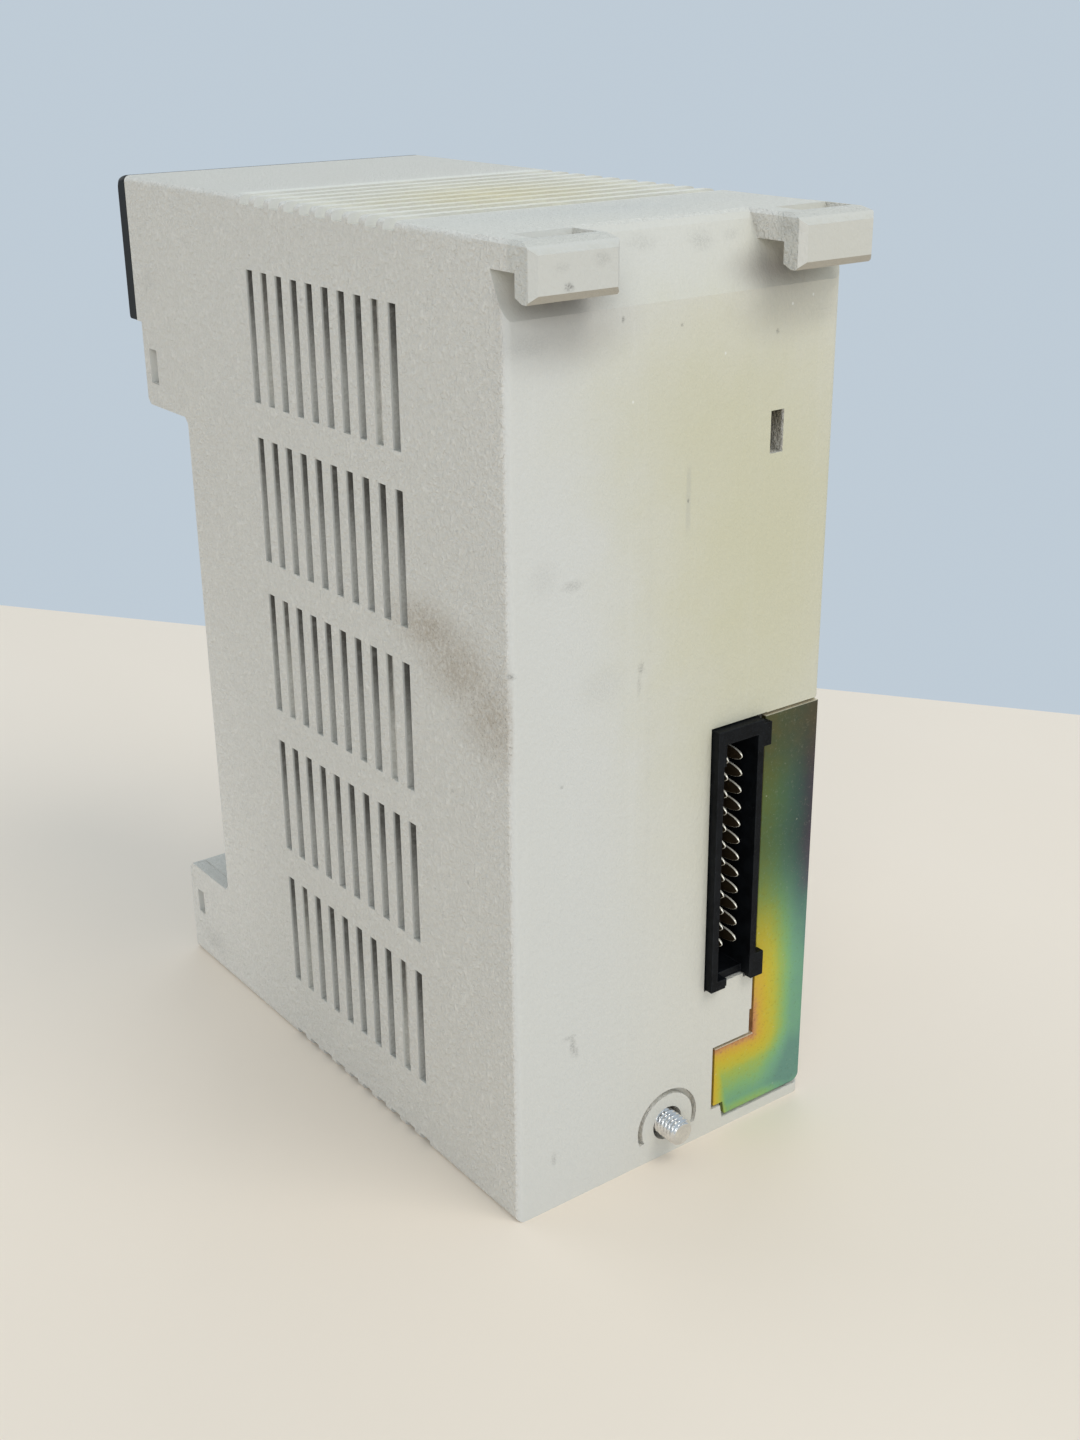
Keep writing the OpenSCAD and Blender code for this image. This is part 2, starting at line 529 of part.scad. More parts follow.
// ------------------------------------------------------- power electronics
module transformer_core() color([0.17, 0.16, 0.16]) difference() {
  bx(15, 44.6, 30, 50, 50, 82);
  bx(19.5, 40, 29, 51, 55, 62);
  bx(19.5, 40, 29, 51, 70, 77);
}
module transformer_bobbin() color([0.20, 0.19, 0.17]) union() {
  difference() {
    union() {
      bx(19.6, 20.4, 24, 56, 55.2, 76.8);
      bx(39.1, 39.9, 24, 56, 55.2, 76.8);
      bx(20.3, 39.2, 29.2, 50.8, 61.2, 70.8);
      for (y = [24, 52.5]) bx(39.8, 45.9, y, y+3.5, 56, 76);
    }
    bx(19, 40.5, 29.95, 50.05, 61.95, 70.05);
  }
  for (y = [25.6, 54.4], z = [58:4:74]) bx(45.8, 48.4, y-0.35, y+0.35, z-0.35, z+0.35);
}
module transformer_winding() color([0.78, 0.66, 0.22]) difference() {
  bx(20.45, 39.05, 25, 55, 55.4, 76.6);
  bx(19, 41, 29.15, 50.85, 61.15, 70.85);
}
module line_choke_core() color([0.18, 0.17, 0.17]) difference() {
  bx(22, 43.9, 44, 60, 18, 38);
  bx(26.5, 39.4, 43, 61, 22, 34);
}
module line_choke_windings() color([0.72, 0.36, 0.17]) for (x = [22, 39.4]) difference() {
  union() {
    bx(x-1.6, x+6.0, 42.4, 61.6, 22.4, 33.6);
    if (x > 30) for (y = [47, 57], z = [25, 31]) cyl_x(x+5.9, 48.2, y, z, 0.4);
  }
  bx(x-0.05, x+4.55, 43.9, 60.1, 21, 35);
}
module output_choke_core() color([0.75, 0.70, 0.30]) translate([33, 27, 28]) rotate([0, 90, 0]) difference() {
  cylinder(h = 9, r = 7.4, $fn = fn);
  translate([0, 0, -1]) cylinder(h = 12, r = 3.8, $fn = fn);
}
module output_choke_winding() color([0.74, 0.40, 0.20]) translate([33, 27, 28]) rotate([0, 90, 0]) difference() {
  union() {
    translate([0, 0, -1.3]) cylinder(h = 11.6, r = 8.7, $fn = fn);
    for (a = [-1, 1]) translate([5.5, a*3, 10]) cylinder(h = 4.6, r = 0.5, $fn = fn);
  }
  translate([0, 0, -0.05]) difference() {
    cylinder(h = 9.1, r = 7.45, $fn = fn);
    translate([0, 0, -1]) cylinder(h = 12, r = 3.75, $fn = fn);
  }
  translate([0, 0, -2]) cylinder(h = 13, r = 2.5, $fn = fn);
}
module can(x1, len, y, z, r) difference() {
  cyl_x(x1-len, x1, y, z, r);
  translate([x1-2.4, y, z]) rotate([0, 90, 0]) rotate_extrude($fn = fn) translate([r+0.15, 0]) circle(0.7, $fn = 24);
}
module bulk_capacitors() color([0.13, 0.20, 0.33]) for (y = [35, 57]) union() {
  can(45.9, 32, y, 101, 9);
  for (d = [-3.5, 3.5]) cyl_x(45.8, 48.6, y, 101+d, 0.45);
}
module output_capacitors() color([0.10, 0.11, 0.13]) for (z = [86, 95, 104]) union() {
  can(45.9, 18, 21.9, z, 3.9);
  for (d = [-1.5, 1.5]) cyl_x(45.8, 48.6, 21.9, z+d, 0.3);
}
module line_capacitors() color([0.82, 0.70, 0.22]) for (z = [[44, 60], [62, 77.4]])
  bx(27, 45.9, 57.5, 66.8, z[0], z[1]);
module bridge_rectifier() color([0.10, 0.10, 0.11]) union() {
  bx(31, 45.0, 62.5, 66.5, 78, 90.5);
  for (z = [79.5, 83, 85.5, 89]) cyl_x(44.9, 48.2, 64.5, z, 0.5);
}
module fuse() color([0.85, 0.88, 0.88, 0.6]) cyl_z(22.5, 42.5, 38, 65.6, 2.5);
module fuse_clips() color([0.78, 0.72, 0.50]) for (z = [23.2, 36.8]) difference() {
  bx(34.8, 45.95, 62.4, 68.8, z, z+5);
  cyl_z(z-1, z+6, 38, 65.6, 2.52);
  bx(34, 38, 64.0, 67.2, z-1, z+6);
  bx(41.2, 45.2, 64.0, 67.2, z-1, z+6);
}
module switching_transistor() color([0.09, 0.09, 0.10]) union() {
  bx(18, 38, 31, 46.5, 39.6, 43.9);
  for (y = [33.5, 38.75, 44]) bx(37.9, 48.0, y-0.5, y+0.5, 41, 41.6);
}
module primary_heatsink() color([0.70, 0.71, 0.73]) difference() {
  union() {
    bx(13, 44, 26, 55, 44, 46.2);
    for (y = [26:4.8:50.1]) bx(13, 31, y, y+1.2, 46, 48.6);
    bx(40, 45.9, 27, 30, 44, 46.2);
    bx(40, 45.9, 50, 53, 44, 46.2);
  }
  cyl_z(43, 50, 22, 38.6, 1.6);
}
module output_rectifiers() color([0.09, 0.09, 0.10]) for (z = [79, 93]) union() {
  bx(22, 37, 10.2, 14.8, z, z+10.2);
  for (d = [2.5, 5.1, 7.7]) bx(36.9, 48.0, 11.8, 12.3, z+d-0.4, z+d+0.4);
}
module secondary_heatsink() color([0.70, 0.71, 0.73]) difference() {
  union() {
    bx(13, 44, 14.85, 17.0, 76, 110);
    bx(13, 15, 10.2, 15, 76, 110);
    bx(40, 45.9, 14.85, 17.0, 77, 80);
    bx(40, 45.9, 14.85, 17.0, 106, 109);
  }
  for (z = [84.1, 98.1]) cyl_y(10, 18, 24.9, z, 1.6);
}
module heatsink_screws() color([0.75, 0.76, 0.77]) union() {
  for (z = [84.1, 98.1]) difference() {
    union() {
      cyl_y(14.85, 17.05, 24.9, z, 1.45);
      cyl_y(17.0, 19.2, 24.9, z, 2.6);
    }
    bx(24, 27, 18.4, 20, z-0.4, z+0.4);
  }
  difference() {
    union() {
      cyl_z(43.95, 46.25, 22, 38.6, 1.45);
      cyl_z(46.2, 48.4, 22, 38.6, 1.75);
    }
    bx(20, 24, 38.2, 39.0, 47.6, 49);
  }
}
module surge_varistor() color([0.20, 0.38, 0.62]) union() {
  translate([38, 52.6, 86.5]) rotate([90, 0, 0]) cylinder(h = 3.6, r = 4.6, center = true, $fn = fn);
  for (z = [84.5, 88.5]) cyl_x(41, 48.2, 52.6, z, 0.4);
}
module control_ics() color([0.09, 0.09, 0.10]) union() {
  bx(42.4, 45.6, 30, 40, 113.5, 120);
  bx(42.4, 45.6, 46, 52.5, 113.5, 120);
  bx(42.4, 45.6, 56, 61, 113.5, 120);
  for (y = [31.2, 33.74, 36.28, 38.82], z = [113.7, 119.3]) bx(44.5, 48.2, y-0.25, y+0.25, z, z+0.4);
  for (y = [47.2, 49.7, 51.8], z = [113.7, 119.3]) bx(44.5, 48.2, y-0.25, y+0.25, z, z+0.4);
  for (y = [57.2, 59.8], z = [113.7, 119.3]) bx(44.5, 48.2, y-0.25, y+0.25, z, z+0.4);
}
module suppression_discs() color([0.16, 0.36, 0.66]) for (y = [30, 36]) union() {
  translate([40, y, 86.5]) rotate([90, 0, 0]) cylinder(h = 2.6, r = 3.4, center = true, $fn = fn);
  for (z = [85, 88]) cyl_x(42, 48.2, y, z, 0.35);
}

place() rear_case();
place() front_bezel();
place() indicator_panel();
place() indicator_lens();
place() indicator_led();
place() indicator_board();
place() terminal_block();
place() terminal_block_screws();
place() terminal_contacts();
place() terminal_washers();
place() terminal_screws();
place() voltage_selector_link();
place() terminal_cover();
place() terminal_board();
place() board_link_headers();
place() main_board();
place() board_screws();
place() insulation_sheet();
place() backplane_connector();
place() connector_pins();
place() connector_board();
place() earth_plate();
place() earth_strap();
place() mounting_screw();
place() flat_washer();
place() spring_washer();
place() screw_retainer();
place() transformer_core();
place() transformer_bobbin();
place() transformer_winding();
place() line_choke_core();
place() line_choke_windings();
place() output_choke_core();
place() output_choke_winding();
place() bulk_capacitors();
place() output_capacitors();
place() line_capacitors();
place() bridge_rectifier();
place() fuse();
place() fuse_clips();
place() switching_transistor();
place() primary_heatsink();
place() output_rectifiers();
place() secondary_heatsink();
place() heatsink_screws();
place() surge_varistor();
place() control_ics();
place() suppression_discs();
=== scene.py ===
import bpy
import bmesh
import json
import math
import random
from mathutils import Matrix, Vector


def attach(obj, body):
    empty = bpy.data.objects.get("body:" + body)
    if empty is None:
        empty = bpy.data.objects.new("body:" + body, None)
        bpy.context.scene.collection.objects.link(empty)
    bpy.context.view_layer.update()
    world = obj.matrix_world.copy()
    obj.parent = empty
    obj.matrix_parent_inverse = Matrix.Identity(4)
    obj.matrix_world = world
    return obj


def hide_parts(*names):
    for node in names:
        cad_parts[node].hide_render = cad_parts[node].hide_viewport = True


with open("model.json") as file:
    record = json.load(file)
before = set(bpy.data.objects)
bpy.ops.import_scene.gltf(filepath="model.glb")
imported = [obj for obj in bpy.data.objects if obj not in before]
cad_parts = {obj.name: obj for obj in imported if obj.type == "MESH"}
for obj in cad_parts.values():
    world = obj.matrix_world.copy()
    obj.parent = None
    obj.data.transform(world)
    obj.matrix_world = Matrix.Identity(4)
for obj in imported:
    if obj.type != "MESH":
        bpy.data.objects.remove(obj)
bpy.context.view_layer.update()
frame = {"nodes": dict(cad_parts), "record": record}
nodes = frame["nodes"]
random.seed(7)

# Drawing frame of the part, in millimetres: u in from the vented side,
# s forward from the back plane, z up.
def P(u, s, z):
    return Vector(((26.3 - u) * 1e-3, (46.75 - s) * 1e-3, z * 1e-3))


def lin(r, g, b):
    f = lambda v: v / 12.92 if v <= 0.04045 else ((v + 0.055) / 1.055) ** 2.4
    return (f(r / 255.0), f(g / 255.0), f(b / 255.0), 1.0)


# ------------------------------------------------------------------ materials
class Mat:
    def __init__(self, name):
        self.m = bpy.data.materials.new(name)
        self.m.use_nodes = True
        self.t = self.m.node_tree
        self.t.nodes.clear()
        out = self.t.nodes.new("ShaderNodeOutputMaterial")
        self.b = self.t.nodes.new("ShaderNodeBsdfPrincipled")
        self.t.links.new(self.b.outputs[0], out.inputs[0])
        tc = self.t.nodes.new("ShaderNodeTexCoord")
        self.nrm = tc.outputs["Normal"]
        self.mm = self.vec("SCALE", tc.outputs["Object"], scale=1000.0)
        sep = self.t.nodes.new("ShaderNodeSeparateXYZ")
        self.link(self.mm, sep.inputs[0])
        self.x, self.y, self.z = sep.outputs
        sn = self.t.nodes.new("ShaderNodeSeparateXYZ")
        self.link(self.nrm, sn.inputs[0])
        self.nx, self.ny, self.nz = sn.outputs
        self.u = self.op("SUBTRACT", 26.3, self.x)
        self.s = self.op("SUBTRACT", 46.75, self.y)
        self.h = None

    def link(self, a, b):
        if hasattr(a, "links") or hasattr(a, "is_linked"):
            self.t.links.new(a, b)
        else:
            b.default_value = a

    def op(self, kind, a, b=0.0, c=0.0, clamp=False):
        n = self.t.nodes.new("ShaderNodeMath")
        n.operation = kind
        n.use_clamp = clamp
        self.link(a, n.inputs[0])
        self.link(b, n.inputs[1])
        self.link(c, n.inputs[2])
        return n.outputs[0]

    def vec(self, kind, a, b=None, scale=None):
        n = self.t.nodes.new("ShaderNodeVectorMath")
        n.operation = kind
        self.link(a, n.inputs[0])
        if b is not None:
            self.link(b, n.inputs[1])
        if scale is not None:
            n.inputs["Scale"].default_value = scale
        return n.outputs["Value"] if kind in ("LENGTH", "DOT_PRODUCT") else n.outputs["Vector"]

    def noise(self, scale, detail=3.0, rough=0.5, stretch=None, seed=0.0):
        """Noise over millimetres, 0..1; scale is cycles per mm."""
        v = self.mm
        if stretch is not None:
            v = self.vec("MULTIPLY", v, stretch)
        if seed:
            v = self.vec("ADD", v, (seed * 13.7, seed * 7.3, seed * 3.1))
        n = self.t.nodes.new("ShaderNodeTexNoise")
        n.inputs["Scale"].default_value = scale
        n.inputs["Detail"].default_value = detail
        n.inputs["Roughness"].default_value = rough
        self.link(v, n.inputs["Vector"])
        return n.outputs["Fac"]

    def cells(self, scale, feature="F1", seed=0.0):
        v = self.mm
        if seed:
            v = self.vec("ADD", v, (seed * 5.1, seed * 9.3, seed * 2.7))
        n = self.t.nodes.new("ShaderNodeTexVoronoi")
        n.feature = feature
        n.inputs["Scale"].default_value = scale
        self.link(v, n.inputs["Vector"])
        return n.outputs["Distance"]

    def step(self, v, a, b, lo=0.0, hi=1.0, smooth=True):
        n = self.t.nodes.new("ShaderNodeMapRange")
        n.interpolation_type = "SMOOTHSTEP" if smooth else "LINEAR"
        n.clamp = True
        self.link(v, n.inputs["Value"])
        n.inputs["From Min"].default_value = a
        n.inputs["From Max"].default_value = b
        n.inputs["To Min"].default_value = lo
        n.inputs["To Max"].default_value = hi
        return n.outputs["Result"]

    def band(self, v, a, b, soft):
        return self.op("MULTIPLY", self.step(v, a - soft, a + soft), self.step(v, b - soft, b + soft, 1.0, 0.0))

    def mul(self, *v):
        r = v[0]
        for k in v[1:]:
            r = self.op("MULTIPLY", r, k)
        return r

    def add(self, *v):
        r = v[0]
        for k in v[1:]:
            r = self.op("ADD", r, k)
        return r

    def mix(self, fac, a, b, kind="MIX"):
        n = self.t.nodes.new("ShaderNodeMix")
        n.data_type = "RGBA"
        n.blend_type = kind
        n.clamp_factor = True
        self.link(fac, n.inputs[0])
        self.link(a, n.inputs[6])
        self.link(b, n.inputs[7])
        return n.outputs[2]

    def ramp(self, fac, stops):
        n = self.t.nodes.new("ShaderNodeValToRGB")
        e = n.color_ramp.elements
        while len(e) > 1:
            e.remove(e[-1])
        e[0].position, e[0].color = stops[0]
        for p, c in stops[1:]:
            k = e.new(p)
            k.color = c
        self.link(fac, n.inputs[0])
        return n.outputs[0]

    def blob(self, c, r, edge=0.5, warp=None, amount=0.6):
        """1 inside an ellipsoid (u, s, z mm) and 0 outside, with a soft, ragged edge."""
        v = self.vec("SUBTRACT", self.mm, (26.3 - c[0], 46.75 - c[1], c[2]))
        v = self.vec("MULTIPLY", v, (1.0 / r[0], 1.0 / r[1], 1.0 / r[2]))
        d = self.vec("LENGTH", v)
        if warp is not None:
            d = self.op("ADD", d, self.op("MULTIPLY", self.op("SUBTRACT", warp, 0.5), amount * 2))
        return self.step(d, 1.0 - edge, 1.0 + edge * 0.4, 1.0, 0.0)

    def bump(self, height, strength, dist):
        n = self.t.nodes.new("ShaderNodeBump")
        n.inputs["Strength"].default_value = strength
        n.inputs["Distance"].default_value = dist * 1e-3
        self.link(height, n.inputs["Height"])
        if self.h is not None:
            self.link(self.h, n.inputs["Normal"])
        self.h = n.outputs[0]

    def done(self, color=None, rough=None, metal=None, **kw):
        if color is not None:
            self.link(color, self.b.inputs["Base Color"])
        if rough is not None:
            self.link(rough, self.b.inputs["Roughness"])
        if metal is not None:
            self.link(metal, self.b.inputs["Metallic"])
        for k, v in kw.items():
            self.b.inputs[k.replace("_", " ")].default_value = v
        if self.h is not None:
            self.link(self.h, self.b.inputs["Normal"])
        return self.m


CASE = (0.652, 0.636, 0.578, 1.0)


def case_plastic(name, bezel=False):
    """Aged warm-grey ABS: spark texture on the sides and top, satin back."""
    m = Mat(name)
    big = m.noise(0.035, 3.0, 0.55)
    mid = m.noise(0.16, 4.0, 0.6, seed=2)
    fine = m.noise(1.9, 2.0, 0.6, seed=3)
    grain = m.noise(2.3, 2.0, 0.7, seed=4)
    leather = m.noise(1.9, 2.5, 0.62, stretch=(1.0, 1.0, 0.72), seed=17)
    rag = m.noise(0.9, 4.0, 0.7, seed=5)
    rag2 = m.noise(2.1, 5.0, 0.75, seed=15)
    pit = m.step(m.noise(4.2, 3.0, 0.7, seed=16), 0.40, 0.60, 0.25, 1.0)
    # where the spark texture is
    back = m.step(m.ny, 0.35, 0.75)
    side = m.step(m.op("ABSOLUTE", m.nx), 0.35, 0.75)
    top = m.step(m.nz, 0.6, 0.9)
    tex = m.op("SUBTRACT", 1.0, m.mul(back, 0.86))
    # body colour with slow drift
    col = m.mix(m.step(big, 0.3, 0.7), (CASE[0] * 0.985, CASE[1] * 0.985, CASE[2] * 0.985, 1), (CASE[0] * 1.015, CASE[1] * 1.012, CASE[2] * 1.0, 1))
    col = m.mix(m.mul(m.step(mid, 0.45, 0.75), 0.10), col, (CASE[0] * 0.93, CASE[1] * 0.92, CASE[2] * 0.89, 1))
    # the sides run a little warmer and darker towards the foot
    low = m.mul(side, m.step(m.z, 60.0, 0.0), m.step(m.s, 72.0, 40.0))
    col = m.mix(m.mul(low, 0.35), col, (0.605, 0.570, 0.490, 1))
    col = m.mix(m.mul(side, 0.6), col, (0.710, 0.672, 0.612, 1))
    fore = m.mul(side, m.step(m.s, 52.0, 86.0), m.step(m.z, 96.0, 20.0))
    col = m.mix(m.mul(fore, 0.72), col, (0.84, 0.80, 0.73, 1))
    # painted highlight along the edges, ragged; the upright rear edge gets a broader painted highlight band
    far = m.op("MAXIMUM", m.op("MAXIMUM", m.op("ABSOLUTE", m.nx), m.op("ABSOLUTE", m.ny)), m.op("ABSOLUTE", m.nz))
    edge = m.mul(m.step(far, 0.985, 0.84), m.step(rag, 0.25, 0.6, 0.45, 1.0))
    col = m.mix(m.mul(edge, 0.30), col, (0.80, 0.79, 0.75, 1))
    # painted highlight: a broad light band down the upright rear edge
    upright = m.mul(m.step(m.op("MINIMUM", m.nx, m.ny), 0.22, 0.55), m.step(m.s, 2.0, 1.6), m.step(rag, 0.2, 0.5, 0.7, 1.0))
    col = m.mix(m.mul(upright, 0.48), col, (0.83, 0.805, 0.765, 1))
    # grain: small light and dark flecks
    col = m.mix(m.mul(m.step(leather, 0.46, 0.32), tex, 0.13), col, (0.42, 0.405, 0.36, 1))
    col = m.mix(m.mul(m.step(leather, 0.54, 0.68), tex, 0.15), col, (0.88, 0.865, 0.81, 1))
    flecks = m.mul(m.step(grain, 0.35, 0.70), tex)
    col = m.mix(m.mul(flecks, 0.19), col, (0.46, 0.45, 0.41, 1))
    flecks = m.mul(m.step(fine, 0.62, 0.80), tex)
    col = m.mix(m.mul(flecks, 0.16), col, (0.84, 0.83, 0.79, 1))
    if not bezel:
        col = m.mix(m.mul(back, m.step(m.u, 34.0, 8.0), 0.85), col, (0.640, 0.640, 0.612, 1))
        col = m.mix(m.mul(m.band(m.nz, 0.12, 0.7, 0.06), m.step(m.ny, 0.4, 0.7), 0.55), col, (0.590, 0.580, 0.525, 1))
        col = m.mix(m.mul(top, m.step(m.s, 60.0, 68.0), 0.5), col, (0.590, 0.570, 0.515, 1))
        yellow = (0.578, 0.552, 0.375, 1)
        # heat yellowing on the back: upper middle to the far edge
        y1 = m.mul(back, m.blob((42, 0, 90), (26, 8, 34), 0.95, mid, 0.22))
        col = m.mix(m.mul(y1, 0.80), col, yellow)
        y2 = m.mul(back, m.blob((26, 0, 108), (20, 8, 14), 0.95, mid, 0.25))
        col = m.mix(m.mul(y2, 0.45), col, yellow)
        y4 = m.mul(back, m.blob((40, 0, 60), (22, 8, 30), 0.95, mid, 0.25))
        col = m.mix(m.mul(y4, 0.35), col, yellow)
        # grooved top: painted light, the grooved area lightened against the shade of its walls and floors; heat
        # yellowing on it follows
        grooves_painted_light_and_stain = m.mul(m.step(m.z, 127.6, 128.2), m.band(m.s, 21.5, 62.5, 0.8), m.op("SUBTRACT", 1.0, side), m.band(m.u, 1.6, 51.0, 1.4))
        col = m.mix(m.mul(grooves_painted_light_and_stain, 0.70), col, (0.785, 0.775, 0.700, 1))
        # heat yellowing on the grooved top
        y5 = m.mul(grooves_painted_light_and_stain, m.blob((27, 38, 129), (26, 22, 8), 0.98, mid, 0.45))
        col = m.mix(m.mul(y5, 0.48), col, (0.77, 0.73, 0.55, 1))
        y3 = m.mul(grooves_painted_light_and_stain, m.blob((26, 38, 130), (17, 12, 8), 0.98, mid, 0.5))
        col = m.mix(m.mul(y3, 0.42), col, (0.73, 0.66, 0.42, 1))
        # the rail hooks are coloured a shade darker; painted shadow on the back face below each hook and in the gap
        # behind each hook arm; painted shade on the hook undersides
        col = m.mix(m.mul(m.step(m.s, -0.4, -1.2), 0.55), col, (0.545, 0.535, 0.485, 1))
        # painted shadow below each hook and in the gap behind its arm
        for c, r, k in [((9, 0, 119.2), (9.5, 2, 4.8), 0.40), ((42.4, 0, 119.2), (8.5, 2, 4.8), 0.30), ((8.0, 0.6, 123.4), (8.2, 3.0, 3.0), 0.80), ((41.6, 0.6, 123.4), (7.6, 3.0, 3.0), 0.75)]:
            col = m.mix(m.mul(m.blob(c, r, 0.95, mid, 0.12), m.step(m.s, -0.5, 0.0), k), col, (0.24, 0.215, 0.19, 1))
        # painted shade on the downward-facing hook undersides
        hook_underside_painted_shade = m.mul(m.step(m.s, -0.9, -1.4), m.step(m.nz, -0.25, -0.60))
        col = m.mix(m.mul(hook_underside_painted_shade, 0.55), col, (0.33, 0.28, 0.21, 1))
        # cold grey smear on the rear of the top
        g1 = m.mul(top, m.blob((24, 16, 130), (26, 8, 4), 0.9, mid, 0.4))
        col = m.mix(m.mul(g1, 0.22), col, (0.46, 0.48, 0.47, 1))
        # brown hand-worn smear on the vented side, behind the vents
        a = m.blob((0, 17.5, 80.6), (3, 9.0, 4.4), 1.0, rag, 0.55)
        b = m.blob((0, 11.0, 77.4), (3, 9.5, 6.0), 1.0, rag, 0.55)
        c = m.blob((0, 4.0, 73.0), (3, 8.0, 7.5), 1.0, rag, 0.55)
        sm = m.op("MAXIMUM", m.op("MAXIMUM", a, m.mul(b, 0.9)), m.mul(c, 0.8))
        sm = m.mul(sm, m.step(rag, 0.28, 0.66, 0.55, 1.0), m.step(grain, 0.34, 0.62, 0.45, 1.0), side)
        col = m.mix(m.mul(sm, 0.74), col, (0.330, 0.258, 0.175, 1))
        dots = m.mul(m.step(m.noise(2.6, 2.0, 0.6, seed=22), 0.62, 0.70), m.step(sm, 0.06, 0.35))
        col = m.mix(m.mul(dots, 0.55), col, (0.150, 0.115, 0.075, 1))
        # faint streak up the back
        st = m.mul(back, m.band(m.u, 21.2, 21.9, 0.35), m.band(m.z, 36, 102, 10), m.step(rag, 0.3, 0.6))
        col = m.mix(m.mul(st, 0.08), col, (0.48, 0.47, 0.44, 1))
        st = m.mul(back, m.band(m.u, 27.2, 27.9, 0.2), m.band(m.z, 92.5, 100.5, 1.2))
        col = m.mix(m.mul(st, 0.30), col, (0.42, 0.42, 0.38, 1))
        # light vertical rub bands on the back
        rub = m.noise(0.5, 3.0, 0.6, stretch=(1.0, 1.0, 0.05), seed=8)
        col = m.mix(m.mul(back, m.step(rub, 0.55, 0.8), 0.10), col, (0.74, 0.74, 0.71, 1))
        # marks: (u, s, z), (ru, rs, rz), darkness
        marks = [((9.3, 0, 24.6), (0.55, 1, 1.7), 0.42), ((8.7, 0, 26.2), (1.2, 1, 0.4), 0.30), ((9.9, 0, 23.4), (0.4, 1, 0.9), 0.34),
                 ((9.4, 0, 88.9), (1.7, 1, 0.8), 0.26), ((5.0, 0, 90.5), (2.4, 1, 2.6), 0.10),
                 ((20.3, 0, 75.9), (0.6, 1, 0.9), 0.40), ((20.0, 0, 73.6), (0.4, 1, 1.6), 0.26), ((14.0, 0, 75.0), (4.0, 1, 3.0), 0.09),
                 ((0.2, 0.2, 79.3), (0.7, 0.7, 0.45), 0.60), ((16.9, 0, 119.6), (0.28, 1, 0.4), 0.80), ((25.9, 0, 118.0), (0.3, 1, 0.25), 0.5),
                 ((41.6, 0, 115.5), (0.28, 1, 0.35), 0.75), ((27.5, 0, 96.3), (0.2, 1, 0.3), 0.6), ((7.7, 0, 63.0), (0.3, 1, 0.25), 0.5),
                 ((22, 1.5, 127.6), (2.6, 3, 1.2), 0.20), ((31, 1.5, 127.2), (2.2, 3, 1.4), 0.24), ((36, 1.5, 127.4), (1.6, 3, 0.8), 0.18),
                 ((14.0, 1.0, 124.6), (1.6, 2, 1.0), 0.22), ((5.0, -5.3, 125.0), (0.75, 1, 0.55), 0.62), ((9.6, -5.3, 127.6), (1.2, 1, 0.9), 0.20),
                 ((4.0, -5.3, 127.2), (1.2, 1, 0.6), 0.16), ((40.2, -3, 128.3), (0.6, 2, 1.0), 0.30), ((6.0, 0, 8.0), (0.5, 1, 1.2), 0.30),
                 ((3.0, 0, 118.0), (3.6, 2, 1.4), 0.14), ((49.5, 0, 117.0), (4.0, 2, 1.6), 0.10),
                 ((0, 45, 118), (1, 0.5, 0.3), 0.4), ((0, 10, 48), (1, 0.3, 0.3), 0.5), ((0, 13.0, 60), (1, 0.35, 0.3), 0.4), ((0, 5.8, 30.5), (1, 0.25, 0.3), 0.5),
                 ((0, 88, 4.5), (1, 4.0, 2.2), 0.16), ((0, 91, 115), (1, 3.0, 2.2), 0.10)]
        for c, r, k in marks:
            col = m.mix(m.mul(m.blob(c, r, 0.85, rag2, 0.85), pit, k * 1.05), col, (0.135, 0.130, 0.120, 1))
        # tiny pale nicks
        for c in [(18.5, 0, 109.8), (44.0, 0, 118.6), (47.5, 0, 119.4), (33.0, 0, 113.8)]:
            col = m.mix(m.mul(m.blob(c, (0.17, 1, 0.22), 0.6, rag2, 0.4), 0.55), col, (0.83, 0.83, 0.80, 1))
        # grime and painted shade down in the vents and grooves
        vent_grime_and_shade = m.mul(m.band(m.u, 0.28, 52.32, 0.14), m.band(m.s, 18, 64, 2), m.band(m.z, 8, 122, 2), m.op("SUBTRACT", 1.0, side))
        grime_and_shade_amount = m.op("ADD", m.mul(m.step(grain, 0.35, 0.65), 0.22), 0.20)
        col = m.mix(m.mul(vent_grime_and_shade, grime_and_shade_amount), col, (0.235, 0.222, 0.185, 1))
        # painted shadow at the top of each vent slot row, fading downwards
        slot_top_painted_shadow = None
        for g in range(5):
            z1 = 10.65 + 22.93 * g + 18.0
            b = m.mul(m.step(m.z, z1 - 13.0, z1 - 0.5), m.step(m.z, z1 + 0.3, z1 + 0.1))
            slot_top_painted_shadow = b if slot_top_painted_shadow is None else m.op("MAXIMUM", slot_top_painted_shadow, b)
        col = m.mix(m.mul(vent_grime_and_shade, slot_top_painted_shadow, m.step(rag, 0.2, 0.6, 0.6, 1.0), 0.85), col, (0.050, 0.044, 0.034, 1))
        # painted shade inside the opening in the back, heaviest towards its top
        hole_painted_shade = m.mul(m.band(m.u, 40.8, 43.6, 0.1), m.band(m.z, 99.8, 105.9, 0.1), m.step(m.s, 0.25, 0.55))
        col = m.mix(m.mul(hole_painted_shade, m.step(m.z, 100.3, 105.2, 0.30, 0.85)), col, (0.185, 0.165, 0.105, 1))
